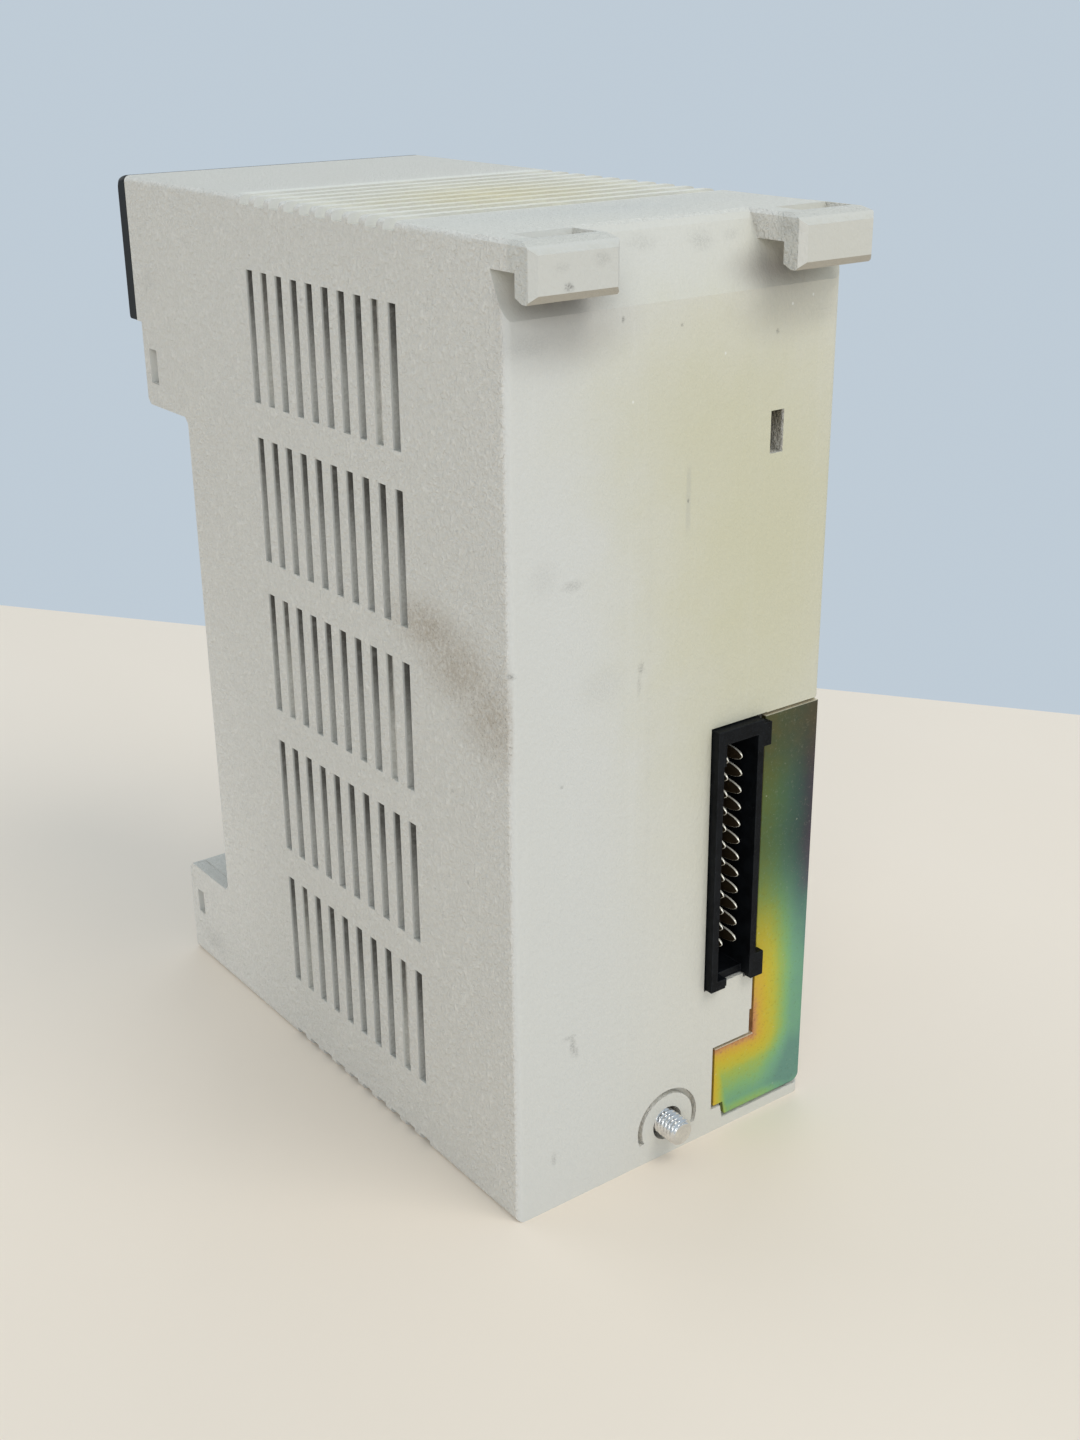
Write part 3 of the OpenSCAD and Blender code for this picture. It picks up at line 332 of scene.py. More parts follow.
        # grime and painted shade on the groove floors
        groove_floor_grime_and_shade = m.mul(top, m.band(m.z, 128.0, 129.2, 0.2), m.step(rag, 0.35, 0.65))
        col = m.mix(m.mul(groove_floor_grime_and_shade, 0.25), col, (0.40, 0.36, 0.24, 1))
        for c in [(27, 35, 129), (36, 38.9, 129), (15, 31, 129), (44, 43, 129), (9, 27, 129)]:
            col = m.mix(m.mul(m.blob(c, (0.8, 0.7, 0.8), 0.6, rag, 0.5), 0.55), col, (0.12, 0.11, 0.09, 1))
    # relief
    m.bump(m.mul(m.step(leather, 0.30, 0.70), tex, m.op("SUBTRACT", 1.0, m.mul(top, 0.45))), 0.85, 0.24)
    m.bump(m.mul(grain, tex), 0.50, 0.18)
    m.bump(m.mul(m.noise(5.5, 2.0, 0.6, seed=11), back), 0.10, 0.03)
    m.bump(big, 0.25, 0.25)
    rough = m.add(0.50, m.mul(tex, 0.12), m.mul(m.step(mid, 0.3, 0.7), 0.05), m.mul(m.op("SUBTRACT", grain, 0.5), 0.12))
    return m.done(col, rough, 0.0, Specular_IOR_Level=0.42)


def chromate():
    """Yellow chromate on zinc: the film thickens away from the free edges."""
    m = Mat("yellow_chromate")
    fine = m.noise(2.3, 3.0, 0.75, seed=1)
    slow = m.noise(0.12, 3.0, 0.5, seed=2)
    patchy = m.noise(0.55, 4.0, 0.65, seed=4)
    dx = m.op("MAXIMUM", m.op("SUBTRACT", m.u, 42.4), 0.0)
    dz = m.op("MAXIMUM", m.op("SUBTRACT", 13.9, m.z), 0.0)
    # the film grows more slowly once it is past the yellow
    dz = m.op("MINIMUM", dz, m.add(m.mul(dz, 0.5), 2.45))
    # and never starts as thin higher up the plate
    h = m.step(m.z, 14.0, 42.0, 0.0, 5.6)
    d = m.op("SQRT", m.add(m.mul(dx, dx), m.mul(dz, dz), m.mul(h, h)))
    left = m.mul(m.op("SUBTRACT", m.u, 34.2), 2.1)
    d = m.op("MINIMUM", d, left)
    # the right edge thins again near the foot
    edge = m.mul(m.step(m.u, 49.6, 52.4), m.step(m.z, 46, 12), 1.8)
    foot = m.mul(m.step(m.z, 4.2, 2.4), m.step(m.u, 34, 40), 2.4)
    t = m.add(d, m.mul(m.op("SUBTRACT", slow, 0.5), 1.4), m.mul(m.op("SUBTRACT", patchy, 0.5), 0.9), m.mul(m.op("SUBTRACT", fine, 0.5), 1.6))
    t = m.op("SUBTRACT", t, m.add(edge, foot))
    t = m.op("MINIMUM", t, m.step(m.z, 32.0, 41.0, 8.9, 12.6))
    k = 1.0 / 13.0
    col = m.ramp(m.mul(t, k), [
        (0.00, lin(176, 118, 80)), (0.5 * k, lin(204, 150, 92)), (1.2 * k, lin(214, 174, 62)), (2.6 * k, lin(208, 186, 52)),
        (4.0 * k, lin(194, 190, 66)), (5.2 * k, lin(164, 188, 92)), (6.4 * k, lin(136, 184, 124)), (7.6 * k, lin(120, 172, 140)),
        (9.0 * k, lin(104, 148, 136)), (10.4 * k, lin(108, 116, 126)), (11.6 * k, lin(126, 104, 128)), (1.0, lin(120, 100, 132))])
    # upper part: darker and more olive
    dark = m.step(m.z, 22, 46, 1.0, 0.0)
    shade = m.add(0.29, m.mul(dark, 0.74))
    olive = m.mul(m.step(m.z, 50, 62), 0.74)
    col = m.mix(olive, col, m.mix(m.step(patchy, 0.35, 0.65), lin(148, 132, 82), lin(126, 126, 84)))
    n = m.t.nodes.new("ShaderNodeMix")
    n.data_type = "RGBA"
    n.blend_type = "MULTIPLY"
    n.inputs[0].default_value = 1.0
    m.link(col, n.inputs[6])
    g = m.t.nodes.new("ShaderNodeCombineColor")
    for i in range(3):
        m.link(shade, g.inputs[i])
    m.link(g.outputs[0], n.inputs[7])
    col = n.outputs[2]
    # fine grain of the cold-rolled sheet, pale specks
    col = m.mix(m.mul(m.step(fine, 0.56, 0.76), 0.16), col, (0.62, 0.60, 0.42, 1))
    col = m.mix(m.mul(m.step(fine, 0.44, 0.28), 0.28), col, (0.05, 0.06, 0.035, 1))
    col = m.mix(m.mul(m.step(m.cells(0.42), 0.025, 0.075, 1.0, 0.0), 0.35), col, (0.62, 0.62, 0.50, 1))
    # edge faces of the plate a darker brown
    col = m.mix(m.mul(m.step(m.ny, 0.9, 0.4), 0.35), col, lin(120, 92, 50))
    # painted highlight on the upward-facing edges of the plate
    col = m.mix(m.mul(m.step(m.nz, 0.15, 0.5), 0.80), col, lin(232, 222, 196))
    m.bump(fine, 0.16, 0.035)
    m.bump(m.noise(0.7, 2.0, 0.5, stretch=(1, 1, 0.15), seed=5), 0.12, 0.06)
    rough = m.add(0.30, m.mul(fine, 0.16))
    return m.done(col, rough, 0.55, Specular_IOR_Level=0.5)


def simple(name, a, b, rough=0.5, metal=0.0, scale=0.5, grain=3.0, bump=0.15, depth=0.05, stretch=None, speck=None, spread=0.08, **kw):
    """Two close tones drifting over each other, with grain in relief and gloss."""
    m = Mat(name)
    slow = m.noise(scale, 4.0, 0.6, stretch=stretch, seed=1)
    fine = m.noise(grain, 2.5, 0.65, stretch=stretch, seed=6)
    col = m.mix(m.step(slow, 0.32, 0.68), a, b)
    col = m.mix(m.mul(m.step(fine, 0.45, 0.75), 0.35), col, tuple(min(1.0, v * 0.72) for v in a[:3]) + (1,))
    if speck is not None:
        col = m.mix(m.mul(m.step(m.cells(0.9, seed=2), 0.05, 0.12, 1.0, 0.0), 0.6), col, speck)
    m.bump(fine, bump, depth)
    r = m.add(rough - spread / 2, m.mul(fine, spread), m.mul(m.step(slow, 0.3, 0.7), spread / 2))
    return m.done(col, r, metal, **kw)


def board_mat():
    """Green solder resist over copper runs."""
    m = Mat("solder_resist")
    slow = m.noise(0.2, 3.0, 0.5)
    wob = m.noise(0.09, 1.0, 0.4, seed=3)
    col = m.mix(slow, (0.012, 0.085, 0.035, 1), (0.018, 0.110, 0.048, 1))
    # tracks: stepped lanes that swap direction with a slow noise
    lane = m.op("PINGPONG", m.add(m.z, m.mul(m.op("GREATER_THAN", wob, 0.5), 3.1)), 1.27)
    tr = m.step(lane, 0.30, 0.42, 1.0, 0.0)
    lane2 = m.op("PINGPONG", m.add(m.y, m.mul(m.op("GREATER_THAN", wob, 0.47), 2.3)), 1.6)
    tr2 = m.step(lane2, 0.30, 0.42, 1.0, 0.0)
    pick = m.step(wob, 0.49, 0.50)
    tracks = m.add(m.mul(tr, pick), m.mul(tr2, m.op("SUBTRACT", 1.0, pick)))
    col = m.mix(m.mul(tracks, 0.75), col, (0.030, 0.190, 0.075, 1))
    m.bump(tracks, 0.4, 0.06)
    m.bump(m.noise(2.5, 2.0, 0.5, seed=2), 0.08, 0.02)
    return m.done(col, m.add(0.26, m.mul(slow, 0.12)), 0.0, Specular_IOR_Level=0.55)


def copper_mat():
    m = Mat("enamelled_copper")
    v = m.noise(0.4, 3.0, 0.5)
    col = m.mix(v, (0.56, 0.19, 0.07, 1), (0.42, 0.12, 0.045, 1))
    m.bump(m.noise(3.0, 2.0, 0.5, seed=2), 0.1, 0.03)
    return m.done(col, m.add(0.22, m.mul(v, 0.16)), 0.85, Coat_Weight=0.35, Coat_Roughness=0.2)


def clear_mat():
    m = Mat("clear_acrylic")
    s = m.noise(0.25, 3.0, 0.5, stretch=(1, 1, 0.3))
    m.bump(m.noise(4.0, 3.0, 0.7, stretch=(0.25, 1, 1), seed=3), 0.05, 0.02)
    return m.done(m.mix(s, (0.86, 0.90, 0.91, 1), (0.92, 0.95, 0.95, 1)), m.add(0.04, m.mul(s, 0.07)), 0.0,
                  Transmission_Weight=1.0, IOR=1.49)


def glass_mat():
    m = Mat("fuse_glass")
    s = m.noise(0.4, 3.0, 0.5)
    end = m.op("MAXIMUM", m.step(m.z, 28.6, 28.4), m.step(m.z, 36.4, 36.6))
    col = m.mix(end, (0.85, 0.90, 0.90, 1), (0.70, 0.69, 0.66, 1))
    m.link(m.op("SUBTRACT", 1.0, end), m.b.inputs["Transmission Weight"])
    m.bump(s, 0.05, 0.03)
    return m.done(col, m.add(0.05, m.mul(end, 0.22), m.mul(s, 0.05)), end, IOR=1.5)


def sleeve_mat(name, a, b, stripe):
    """Shrunk sleeve: satin gloss, a pale polarity stripe, bare pressed end."""
    m = Mat(name)
    slow = m.noise(0.3, 3.0, 0.5)
    col = m.mix(slow, a, b)
    col = m.mix(m.mul(m.step(m.ny, 0.80, 0.86), 0.8), col, stripe)
    end = m.step(m.nx, 0.80, 0.90)
    col = m.mix(end, col, (0.62, 0.63, 0.64, 1))
    m.bump(m.noise(0.9, 3.0, 0.6, seed=3), 0.12, 0.08)
    m.bump(m.noise(5.0, 2.0, 0.6, seed=4), 0.08, 0.02)
    return m.done(col, m.add(0.24, m.mul(slow, 0.14)), m.mul(end, 0.9), Coat_Weight=0.2, Coat_Roughness=0.3)


def contact_mat():
    """Plated spring strip: bright plated edges and noses, flats painted dark brown as a painted reflection of the dark
    socket.
    """
    m = Mat("contact_metal")
    v = m.noise(0.8, 3.0, 0.6, seed=1)
    # painted reflection: the broad side faces painted dark brown; edges and noses keep the bright plating colour
    painted_reflection_flats = m.step(m.op("ABSOLUTE", m.nx), 0.60, 0.92)
    col = m.mix(v, (0.92, 0.89, 0.80, 1), (0.80, 0.76, 0.64, 1))
    col = m.mix(painted_reflection_flats, col, m.mix(v, (0.050, 0.036, 0.020, 1), (0.090, 0.062, 0.034, 1)))
    m.bump(m.noise(4.0, 2.0, 0.6, seed=5), 0.08, 0.02)
    return m.done(col, m.add(0.30, m.mul(painted_reflection_flats, 0.12)), m.add(0.45, m.mul(painted_reflection_flats, 0.25)), Specular_IOR_Level=0.4)


def connector_mat():
    """Glass-filled black: matt, mottled, paler at the edges from rubbed wear and a painted highlight."""
    m = Mat("connector_black")
    slow = m.noise(0.5, 4.0, 0.65, seed=1)
    fine = m.noise(4.0, 3.0, 0.7, seed=6)
    col = m.mix(m.step(slow, 0.35, 0.65), (0.0030, 0.0034, 0.0042, 1), (0.0062, 0.0072, 0.0088, 1))
    col = m.mix(m.mul(m.step(m.ny, 0.6, 0.9), m.step(fine, 0.45, 0.75), 0.55), col, (0.020, 0.023, 0.028, 1))
    # edges paler: rubbed wear and a painted highlight
    far = m.op("MAXIMUM", m.op("MAXIMUM", m.op("ABSOLUTE", m.nx), m.op("ABSOLUTE", m.ny)), m.op("ABSOLUTE", m.nz))
    col = m.mix(m.mul(m.step(far, 0.98, 0.80), m.step(slow, 0.3, 0.6, 0.35, 1.0), 0.75), col, (0.060, 0.066, 0.074, 1))
    col = m.mix(m.mul(m.step(m.cells(0.9, seed=2), 0.04, 0.10, 1.0, 0.0), 0.5), col, (0.040, 0.044, 0.050, 1))
    m.bump(fine, 0.30, 0.05)
    return m.done(col, m.add(0.40, m.mul(fine, 0.16)), 0.0, Specular_IOR_Level=0.08)


mats = {
    "case_plastic": case_plastic("aged_case_plastic"),
    "bezel_plastic": case_plastic("bezel_plastic", True),
    "dark_panel": simple("dark_panel", (0.0045, 0.0058, 0.0068, 1), (0.0062, 0.0076, 0.0088, 1), 0.40, 0, 0.12, 4.0, 0.12, 0.04,
                         speck=(0.03, 0.034, 0.038, 1), Specular_IOR_Level=0.12),
    "lens_plastic": simple("green_lens", (0.05, 0.34, 0.09, 1), (0.07, 0.40, 0.12, 1), 0.14, 0, 0.5, 3.0, 0.05, 0.03, Transmission_Weight=0.35, IOR=1.49),
    "led_plastic": simple("led_epoxy", (0.16, 0.50, 0.20, 1), (0.22, 0.56, 0.24, 1), 0.22, 0, 0.5, 3.0, 0.05, 0.03, Transmission_Weight=0.3),
    "board": board_mat(),
    "terminal_plastic": simple("phenolic_black", (0.014, 0.014, 0.015, 1), (0.019, 0.019, 0.020, 1), 0.46, 0, 0.25, 3.2, 0.25, 0.06,
                               speck=(0.035, 0.035, 0.036, 1)),
    "zinc_steel": simple("zinc_plate", (0.60, 0.61, 0.62, 1), (0.48, 0.50, 0.52, 1), 0.32, 0.95, 0.5, 3.5, 0.15, 0.04),
    "tinned_brass": simple("tinned_brass", (0.66, 0.60, 0.42, 1), (0.58, 0.53, 0.40, 1), 0.32, 0.9, 0.4, 3.0, 0.14, 0.04),
    "clear_cover": clear_mat(),
    "black_nylon": simple("black_nylon", (0.013, 0.013, 0.014, 1), (0.020, 0.020, 0.021, 1), 0.44, 0, 0.3, 3.0, 0.18, 0.05),
    "fish_paper": simple("fish_paper", (0.20, 0.235, 0.215, 1), (0.26, 0.29, 0.265, 1), 0.85, 0, 0.3, 2.2, 0.35, 0.08, speck=(0.12, 0.13, 0.12, 1)),
    "connector_plastic": connector_mat(),
    "contact_metal": contact_mat(),
    "chromated_steel": chromate(),
    "bright_zinc": simple("bright_zinc", (0.78, 0.78, 0.77, 1), (0.66, 0.66, 0.66, 1), 0.16, 1.0, 0.9, 5.0, 0.22, 0.04),
    "nylon": simple("natural_nylon", (0.66, 0.64, 0.56, 1), (0.72, 0.70, 0.62, 1), 0.45, 0, 0.4, 2.5, 0.12, 0.05, Subsurface_Weight=0.1),
    "ferrite": simple("ferrite", (0.030, 0.029, 0.030, 1), (0.046, 0.044, 0.044, 1), 0.62, 0.1, 0.4, 2.4, 0.4, 0.08, speck=(0.10, 0.10, 0.10, 1)),
    "winding_tape": simple("polyester_tape", (0.60, 0.42, 0.05, 1), (0.66, 0.48, 0.08, 1), 0.28, 0, 0.5, 2.0, 0.2, 0.08, stretch=(1, 1, 0.12)),
    "enamelled_copper": copper_mat(),
    "powder_core": simple("powder_core", (0.52, 0.44, 0.07, 1), (0.58, 0.50, 0.10, 1), 0.52, 0, 0.5, 2.2, 0.3, 0.08),
    "capacitor_sleeve": sleeve_mat("sleeve_blue", (0.010, 0.030, 0.090, 1), (0.014, 0.038, 0.110, 1), (0.50, 0.55, 0.62, 1)),
    "capacitor_sleeve_dark": sleeve_mat("sleeve_dark", (0.012, 0.013, 0.017, 1), (0.018, 0.019, 0.024, 1), (0.46, 0.42, 0.28, 1)),
    "film_capacitor": simple("film_box", (0.60, 0.40, 0.045, 1), (0.66, 0.46, 0.07, 1), 0.38, 0, 0.3, 2.6, 0.15, 0.05),
    "epoxy_black": simple("epoxy_black", (0.013, 0.013, 0.014, 1), (0.022, 0.022, 0.023, 1), 0.55, 0, 0.5, 4.0, 0.3, 0.05),
    "fuse_glass": glass_mat(),
    "heatsink_aluminium": simple("brushed_aluminium", (0.58, 0.59, 0.60, 1), (0.66, 0.67, 0.68, 1), 0.36, 0.95, 0.5, 2.6, 0.25, 0.04, stretch=(0.08, 1, 1)),
    "disc_coating": simple("dipped_blue", (0.02, 0.10, 0.36, 1), (0.03, 0.13, 0.42, 1), 0.26, 0, 0.5, 1.4, 0.2, 0.12),
}
slot_of = {p["node"]: p["material_slot"] for p in frame["record"]["subparts"]}


def dress(o, slot):
    o.data.materials.clear() if not o.data.materials else None
    if len(o.data.materials) == 0:
        o.data.materials.append(mats[slot])
    for i in range(len(o.data.materials)):
        o.data.materials[i] = mats[slot]


for name, o in nodes.items():
    if name in slot_of and o.type == "MESH":
        for i in range(max(1, len(o.material_slots))):
            if len(o.material_slots) == 0:
                o.data.materials.append(mats[slot_of[name]])
            else:
                o.material_slots[i].material = mats[slot_of[name]]


# --------------------------------------------------- softened moulded edges
def soften(o, width, angle=35.0, segments=2):
    w = o.modifiers.new("weld", "WELD")
    w.merge_threshold = 2e-6
    d = o.modifiers.new("planar", "DECIMATE")
    d.decimate_type = "DISSOLVE"
    d.angle_limit = math.radians(0.6)
    b = o.modifiers.new("edge", "BEVEL")
    b.width = width
    b.segments = segments
    b.limit_method = "ANGLE"
    b.angle_limit = math.radians(angle)
    b.use_clamp_overlap = True
    b.harden_normals = False
    n = o.modifiers.new("normals", "WEIGHTED_NORMAL")
    n.keep_sharp = True


def smooth(o):
    for p in o.data.polygons:
        p.use_smooth = True


soft_width = {"rear_case": 0.16e-3, "front_bezel": 0.2e-3, "indicator_panel": 0.2e-3, "terminal_block": 0.15e-3, "terminal_cover": 0.15e-3,
              "backplane_connector": 0.12e-3, "earth_plate": 0.10e-3, "terminal_screws": 0.12e-3, "terminal_washers": 0.08e-3,
              "terminal_block_screws": 0.12e-3, "terminal_contacts": 0.06e-3, "voltage_selector_link": 0.08e-3, "indicator_lens": 0.12e-3,
              "transformer_core": 0.25e-3, "line_capacitors": 0.3e-3, "control_ics": 0.08e-3, "switching_transistor": 0.12e-3,
              "output_rectifiers": 0.12e-3, "bridge_rectifier": 0.15e-3, "primary_heatsink": 0.1e-3, "secondary_heatsink": 0.1e-3,
              "bulk_capacitors": 0.2e-3, "output_capacitors": 0.12e-3, "line_choke_core": 0.25e-3, "transformer_bobbin": 0.1e-3,
              "flat_washer": 0.06e-3, "spring_washer": 0.06e-3, "screw_retainer": 0.1e-3, "earth_strap": 0.06e-3, "heatsink_screws": 0.1e-3,
              "board_link_headers": 0.06e-3, "surge_varistor": 0.4e-3, "suppression_discs": 0.4e-3, "board_screws": 0.1e-3}
for name, w in soft_width.items():
    soften(nodes[name], w)


# -------------------------------------------------------------- new pieces
def piece(name, verts, faces, slot, body, smooth_all=True):
    me = bpy.data.meshes.new(name)
    me.from_pydata([tuple(v) for v in verts], [], faces)
    me.validate()
    me.update()
    o = bpy.data.objects.new(name, me)
    bpy.context.scene.collection.objects.link(o)
    me.materials.append(mats[slot])
    for p in me.polygons:
        p.use_smooth = smooth_all
    bm = bmesh.new()
    bm.from_mesh(me)
    bmesh.ops.recalc_face_normals(bm, faces=bm.faces)
    bm.to_mesh(me)
    bm.free()
    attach(o, body)
    return o


def revolve_rows(rows, n, closed=True):
    """rows: list of lists of n points; ends capped with a fan."""
    verts, faces = [], []
    for r in rows:
        verts += r
    for i in range(len(rows) - 1):
        for j in range(n):
            k = (j + 1) % n
            faces.append((i * n + j, i * n + k, (i + 1) * n + k, (i + 1) * n + j))
    faces.append(tuple(range(n)))
    faces.append(tuple(reversed(range((len(rows) - 1) * n, len(rows) * n))))
    return verts, faces


def screw():
    """Captive screw: M4 coarse thread with a chamfered point, slim neck, pan head with a cross recess."""
    n = 64
    pitch, r_out, r_in = 0.70, 1.985, 1.60
    rows = []
    zc = 5.25

    def ring(s, f):
        return [P(26.3 + f(j) * math.cos(2 * math.pi * j / n), s, zc + f(j) * math.sin(2 * math.pi * j / n)) for j in range(n)]

    s = -3.39
    rows.append(ring(s, lambda j: 1.44))
    while s < 2.95:
        lim = min(r_out, 1.50 + (s + 3.39) * 1.15)
        end = min(1.0, max(0.0, (2.95 - s) / 0.7))

        def f(j, s=s, lim=lim, end=end):
            ph = ((s + 10.0) / pitch + j / n) % 1.0
            w = abs(ph - 0.5) * 2.0                      # 0 at crest, 1 at root
            w = min(1.0, max(0.0, (w - 0.10) / 0.74))
            r = r_out - (r_out - r_in) * w * end - (1 - end) * (r_out - 1.62)
            return min(lim, r)
        rows.append(ring(s, f))
        s += 0.05
    for s, r in [(3.0, 1.55), (5.40, 1.55), (5.46, 1.7), (5.47, 3.15), (5.62, 3.36), (6.2, 3.39), (6.9, 3.30), (7.5, 3.02), (7.85, 2.6), (8.03, 1.9), (8.04, 1.0)]:
        rows.append(ring(s, lambda j, r=r: r))
    v, f = revolve_rows(rows, n)
    o = piece("screw_m4", v, f, "bright_zinc", "captive_screw")
    # cross recess
    cuts = []
    for a in (0.0, math.pi / 2):
        pts = []
        for (s, h, w) in [(6.8, 1.3, 0.36), (9.0, 2.2, 0.50)]:
            for dx, dz in ((-h, -w), (h, -w), (h, w), (-h, w)):
                pts.append(P(26.3 + dx * math.cos(a) - dz * math.sin(a), s, zc + dx * math.sin(a) + dz * math.cos(a)))
        cuts.append((pts, [(0, 1, 2, 3), (7, 6, 5, 4), (0, 4, 5, 1), (1, 5, 6, 2), (2, 6, 7, 3), (3, 7, 4, 0)]))
    for k, (v, f) in enumerate(cuts):
        me = bpy.data.meshes.new("cut%d" % k)
        me.from_pydata([tuple(p) for p in v], [], f)
        bm = bmesh.new()
        bm.from_mesh(me)
        bmesh.ops.recalc_face_normals(bm, faces=bm.faces)
        bm.to_mesh(me)
        bm.free()
        c = bpy.data.objects.new("cut%d" % k, me)
        bpy.context.scene.collection.objects.link(c)
        md = o.modifiers.new("b", "BOOLEAN")
        md.operation = "DIFFERENCE"
        md.solver = "EXACT"
        md.object = c
        dg = bpy.context.evaluated_depsgraph_get()
        new = bpy.data.meshes.new_from_object(o.evaluated_get(dg))
        o.modifiers.clear()
        o.data = new
        bpy.data.objects.remove(c)
    for p in o.data.polygons:
        p.use_smooth = True
    e = o.modifiers.new("sharp", "EDGE_SPLIT")
    e.split_angle = math.radians(42)
    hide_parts("mounting_screw")


def pins():
    """Backplane contacts: upright blades with rounded edges and a rounded nose, on square tails."""
    verts, faces = [], []
    m = 16

    def one(cx, cz):
        base = len(verts)
        prof = []
        for k in range(19):
            a = math.pi / 2 * k / 18
            back = 3.4 * (1 - math.sin(a))
            prof.append((-0.58 + back, 0.98 * max(0.08, math.cos(a)), 0.19 * min(1.0, 0.45 + 1.6 * back)))
        prof.sort()
        prof += [(4.97, 0.98, 0.19), (4.98, 0.315, 0.19), (5.02, 0.315, 0.315), (10.95, 0.315, 0.315)]
        for s, hz, hx in prof:
            r = min(0.13, hz * 0.9, hx * 0.9)
            for q in range(4):
                sx, sz = ((1, 1), (-1, 1), (-1, -1), (1, -1))[q]
                for e in range(4):
                    a = math.pi / 2 * (q + e / 3.0)
                    verts.append(P(cx + sx * (hx - r) + r * math.cos(a), s, cz + sz * (hz - r) + r * math.sin(a)))
        for i in range(len(prof) - 1):
            for j in range(m):
                k = (j + 1) % m
                faces.append((base + i * m + j, base + i * m + k, base + (i + 1) * m + k, base + (i + 1) * m + j))
        faces.append(tuple(base + j for j in range(m)))
        faces.append(tuple(base + (len(prof) - 1) * m + j for j in reversed(range(m))))

    for c in (-0.5, 0.5):
        for i in range(12):
            one(36.5 + c * 2.54, 45.33 + (i - 5.5) * 2.54)
    o = piece("contact_pins", verts, faces, "contact_metal", "module")
    e = o.modifiers.new("normals", "WEIGHTED_NORMAL")
    e.keep_sharp = True
    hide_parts("connector_pins")


def tube(points, r, m=8, closed=False):
    verts, faces = [], []
    n = len(points)
    up = Vector((0.13, 0.31, 0.94)).normalized()
    for i, p in enumerate(points):
        a = points[(i - 1) % n] if closed or i > 0 else points[0]
        b = points[(i + 1) % n] if closed or i < n - 1 else points[-1]
        t = (b - a).normalized()
        x = t.cross(up).normalized()
        y = t.cross(x).normalized()
        for j in range(m):
            w = 2 * math.pi * j / m
            verts.append(p + x * (r * math.cos(w)) + y * (r * math.sin(w)))
    for i in range(n - 1):
        for j in range(m):
            k = (j + 1) % m
            faces.append((i * m + j, i * m + k, (i + 1) * m + k, (i + 1) * m + j))
    faces.append(tuple(reversed(range(m))))
    faces.append(tuple(range((n - 1) * m, n * m)))
    return verts, faces


def wound_ring():
    """Output choke: one layer of enamelled wire wound round the ring, two tails into the board."""
    c = (37.5, 27.0, 28.0)
    turns = 22
    pts = []
    ri, ro, h0, h1 = 3.15, 8.05, -5.15, 5.15
    for i in range(turns * 16 + 1):
        t = i / 16.0
        ang = math.radians(-78 + 336 * t / turns - 90 + 180)
        q = t % 1.0
        w = 2 * math.pi * q
        cc, ss = math.cos(w), math.sin(w)
        g = (abs(cc) ** 4 + abs(ss) ** 4) ** -0.25
        rr = (ri + ro) / 2 + (ro - ri) / 2 * cc * g
        hh = 5.15 * ss * g
        pts.append(P(c[0] + hh, c[1] + rr * math.cos(ang), c[2] + rr * math.sin(ang)))
    v, f = tube(pts, 0.50e-3, 8)
    for a in (-1, 1):
        tv, tf = tube([P(41.9, 27 + 3 * a, 20.9), P(43.2, 27 + 3 * a, 21.9), P(44.4, 27 + 3 * a, 22.5), P(47.5, 27 + 3 * a, 22.5)], 0.48e-3, 8)
        b = len(v)
        v += tv
        f += [tuple(i + b for i in q) for q in tf]
    o = piece("choke_ring_wire", v, f, "enamelled_copper", "module")
    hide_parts("output_choke_winding")


def wound_limbs():
    """Line choke: wire wound square round each limb of the core."""
    v, f = [], []
    for x in (22.0, 39.4):
        x0, x1, y0, y1 = x - 0.75, x + 5.25, 43.25, 60.75
        pts = []
        turns = 11
        corners = [(x0, y0), (x1, y0), (x1, y1), (x0, y1)]
        for i in range(turns * 24 + 1):
            t = i / 24.0
            q = (t % 1.0) * 4
            k = int(q) % 4
            a, b = corners[k], corners[(k + 1) % 4]
            fr = q - int(q)
            cx, cy = a[0] + (b[0] - a[0]) * fr, a[1] + (b[1] - a[1]) * fr
            # soften the corners
            mx, my = (x0 + x1) / 2, (y0 + y1) / 2
            dx, dy = (cx - mx) / ((x1 - x0) / 2), (cy - my) / ((y1 - y0) / 2)
            g = 1.0 / max(1.0, (abs(dx) ** 9 + abs(dy) ** 9) ** (1 / 9.0))
            pts.append(P(mx + (cx - mx) * g, my + (cy - my) * g, 22.95 + 10.1 * t / turns))
        tv, tf = tube(pts, 0.47e-3, 8)
        b = len(v)
        v += tv
        f += [tuple(i + b for i in q) for q in tf]
    for y in (47, 57):
        for z in (25, 31):
            tv, tf = tube([P(44.9, y, z), P(46.5, y, z), P(48.1, y, z)], 0.39e-3, 8)
            b = len(v)
            v += tv
            f += [tuple(i + b for i in q) for q in tf]
    o = piece("choke_limb_wire", v, f, "enamelled_copper", "module")
    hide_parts("line_choke_windings")


screw()
pins()
wound_ring()
wound_limbs()

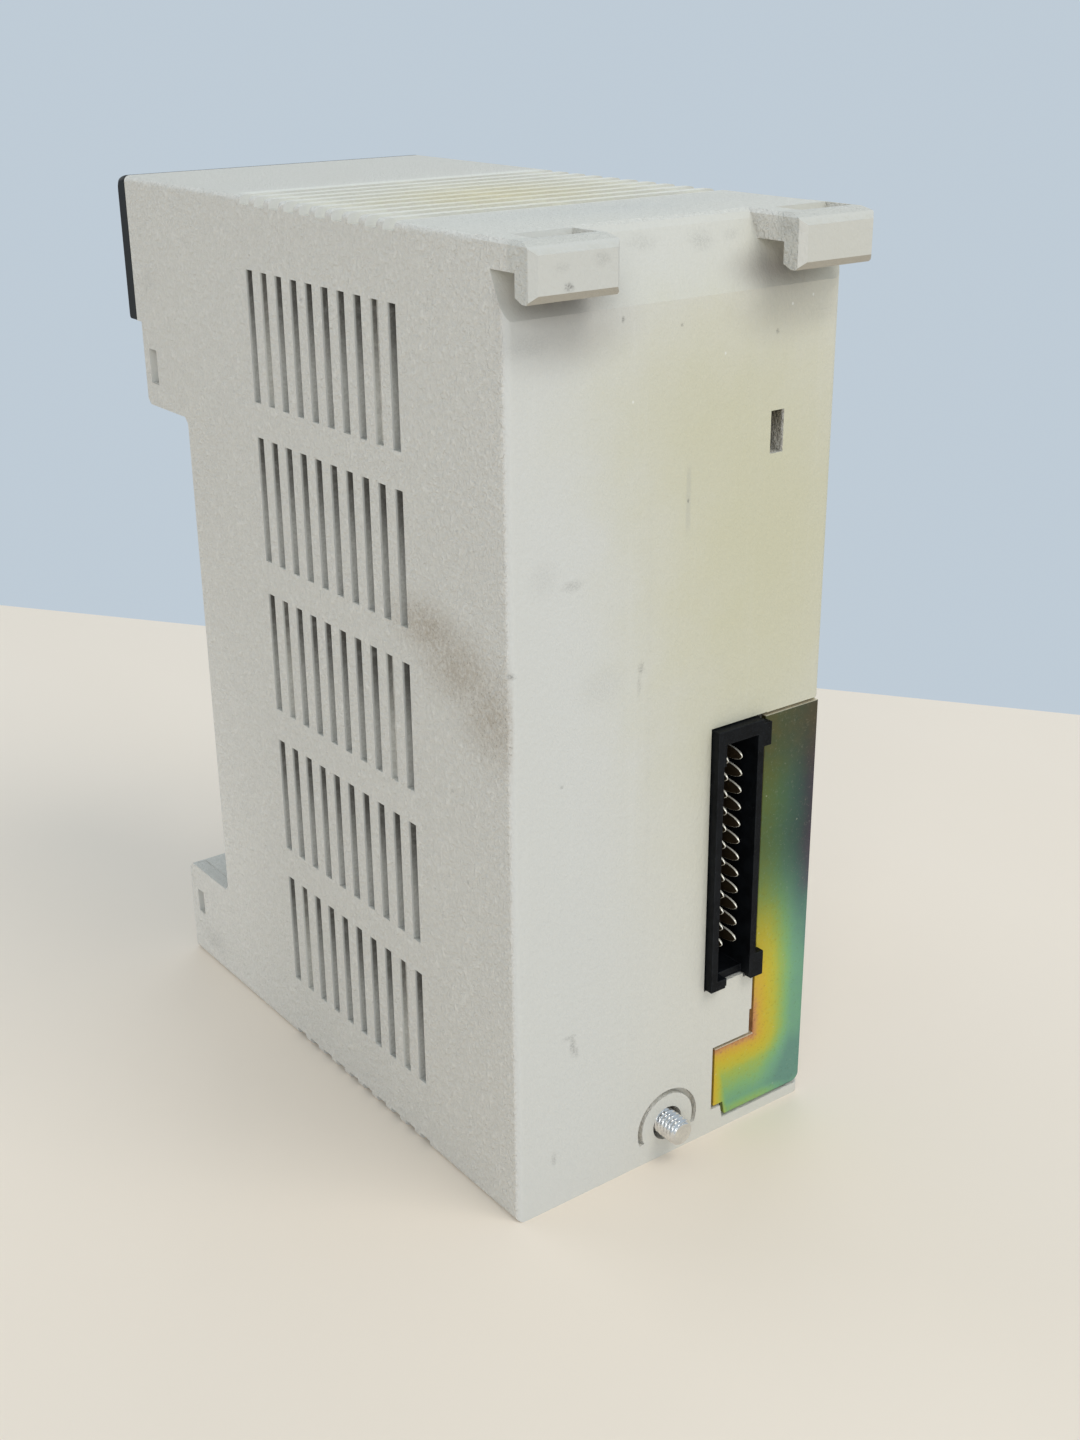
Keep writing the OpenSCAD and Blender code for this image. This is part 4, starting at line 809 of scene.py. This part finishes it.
# ---------------------------------------------------------------- the stage
def stage_floor():
    # table top that ends in a straight edge behind the object
    n = Vector((-0.8121, -0.5836, 0))
    d = Vector((-0.5836, 0.8121, 0))
    e = n * 0.1612
    far = [e + d * 3.0, e - d * 3.0, e - d * 3.0 - n * 4.0, e + d * 3.0 - n * 4.0]
    me = bpy.data.meshes.new("table")
    z0, z1 = -0.02, 0.0
    v = [(p.x, p.y, z1) for p in far] + [(p.x, p.y, z0) for p in far]
    f = [(0, 1, 2, 3), (7, 6, 5, 4), (0, 4, 5, 1), (1, 5, 6, 2), (2, 6, 7, 3), (3, 7, 4, 0)]
    me.from_pydata(v, [], f)
    bm = bmesh.new()
    bm.from_mesh(me)
    bmesh.ops.recalc_face_normals(bm, faces=bm.faces)
    bm.to_mesh(me)
    bm.free()
    o = bpy.data.objects.new("table", me)
    bpy.context.scene.collection.objects.link(o)
    m = Mat("pale_table")
    slow = m.noise(0.012, 3.0, 0.5, stretch=(1, 0.35, 1))
    col = m.mix(slow, (0.825, 0.722, 0.600, 1), (0.860, 0.765, 0.655, 1))
    o.data.materials.append(m.done(col, 0.55, 0.0, Specular_IOR_Level=0.3))


stage_floor()


def area(name, loc, target, size, power, color):
    l = bpy.data.lights.new(name, "AREA")
    l.shape = "RECTANGLE"
    l.size, l.size_y = size
    l.energy = power
    l.color = color
    o = bpy.data.objects.new(name, l)
    bpy.context.scene.collection.objects.link(o)
    o.location = loc
    o.rotation_euler = (Vector(target) - Vector(loc)).to_track_quat("-Z", "Y").to_euler()
    return o


area("key", (-0.30, 0.80, 1.25), (0, 0, 0.06), (0.7, 0.7), 6.6, (1.0, 0.965, 0.90))
area("window", (0.80, 0.98, 0.62), (0, 0, 0.06), (0.75, 0.75), 4.2, (1.0, 0.985, 0.96))
area("rim", (-0.9, -0.9, 0.9), (0, 0, 0.06), (0.8, 0.8), 1.9, (1.0, 0.99, 0.97))
area("front_fill", (0.5, -1.1, 0.6), (0, 0, 0.06), (0.9, 0.7), 2.7, (1.0, 0.99, 0.97))

bpy.context.scene.view_settings.view_transform = "Standard"
world = bpy.data.worlds.new("studio")
bpy.context.scene.world = world
world.use_nodes = True
bg = world.node_tree.nodes["Background"]
bg.inputs[0].default_value = (0.520, 0.600, 0.675, 1.0)
bg.inputs[1].default_value = 1.0

cam = bpy.data.cameras.new("camera")
cam.lens = 44.14
cam.sensor_width = 36.0
cam.sensor_fit = "AUTO"
cam.clip_start = 0.01
cam.clip_end = 20.0
co = bpy.data.objects.new("camera", cam)
bpy.context.scene.collection.objects.link(co)
right = Vector((-0.80087, 0.59877, -0.00910))
up = Vector((-0.23476, -0.29995, 0.92462))
back = Vector((0.55090, 0.74264, 0.38078))
mw = Matrix.Identity(4)
for i in range(3):
    mw[i][0], mw[i][1], mw[i][2] = right[i], up[i], back[i]
mw[0][3], mw[1][3], mw[2][3] = 0.13983, 0.20573, 0.15443
co.matrix_world = mw
bpy.context.scene.camera = co
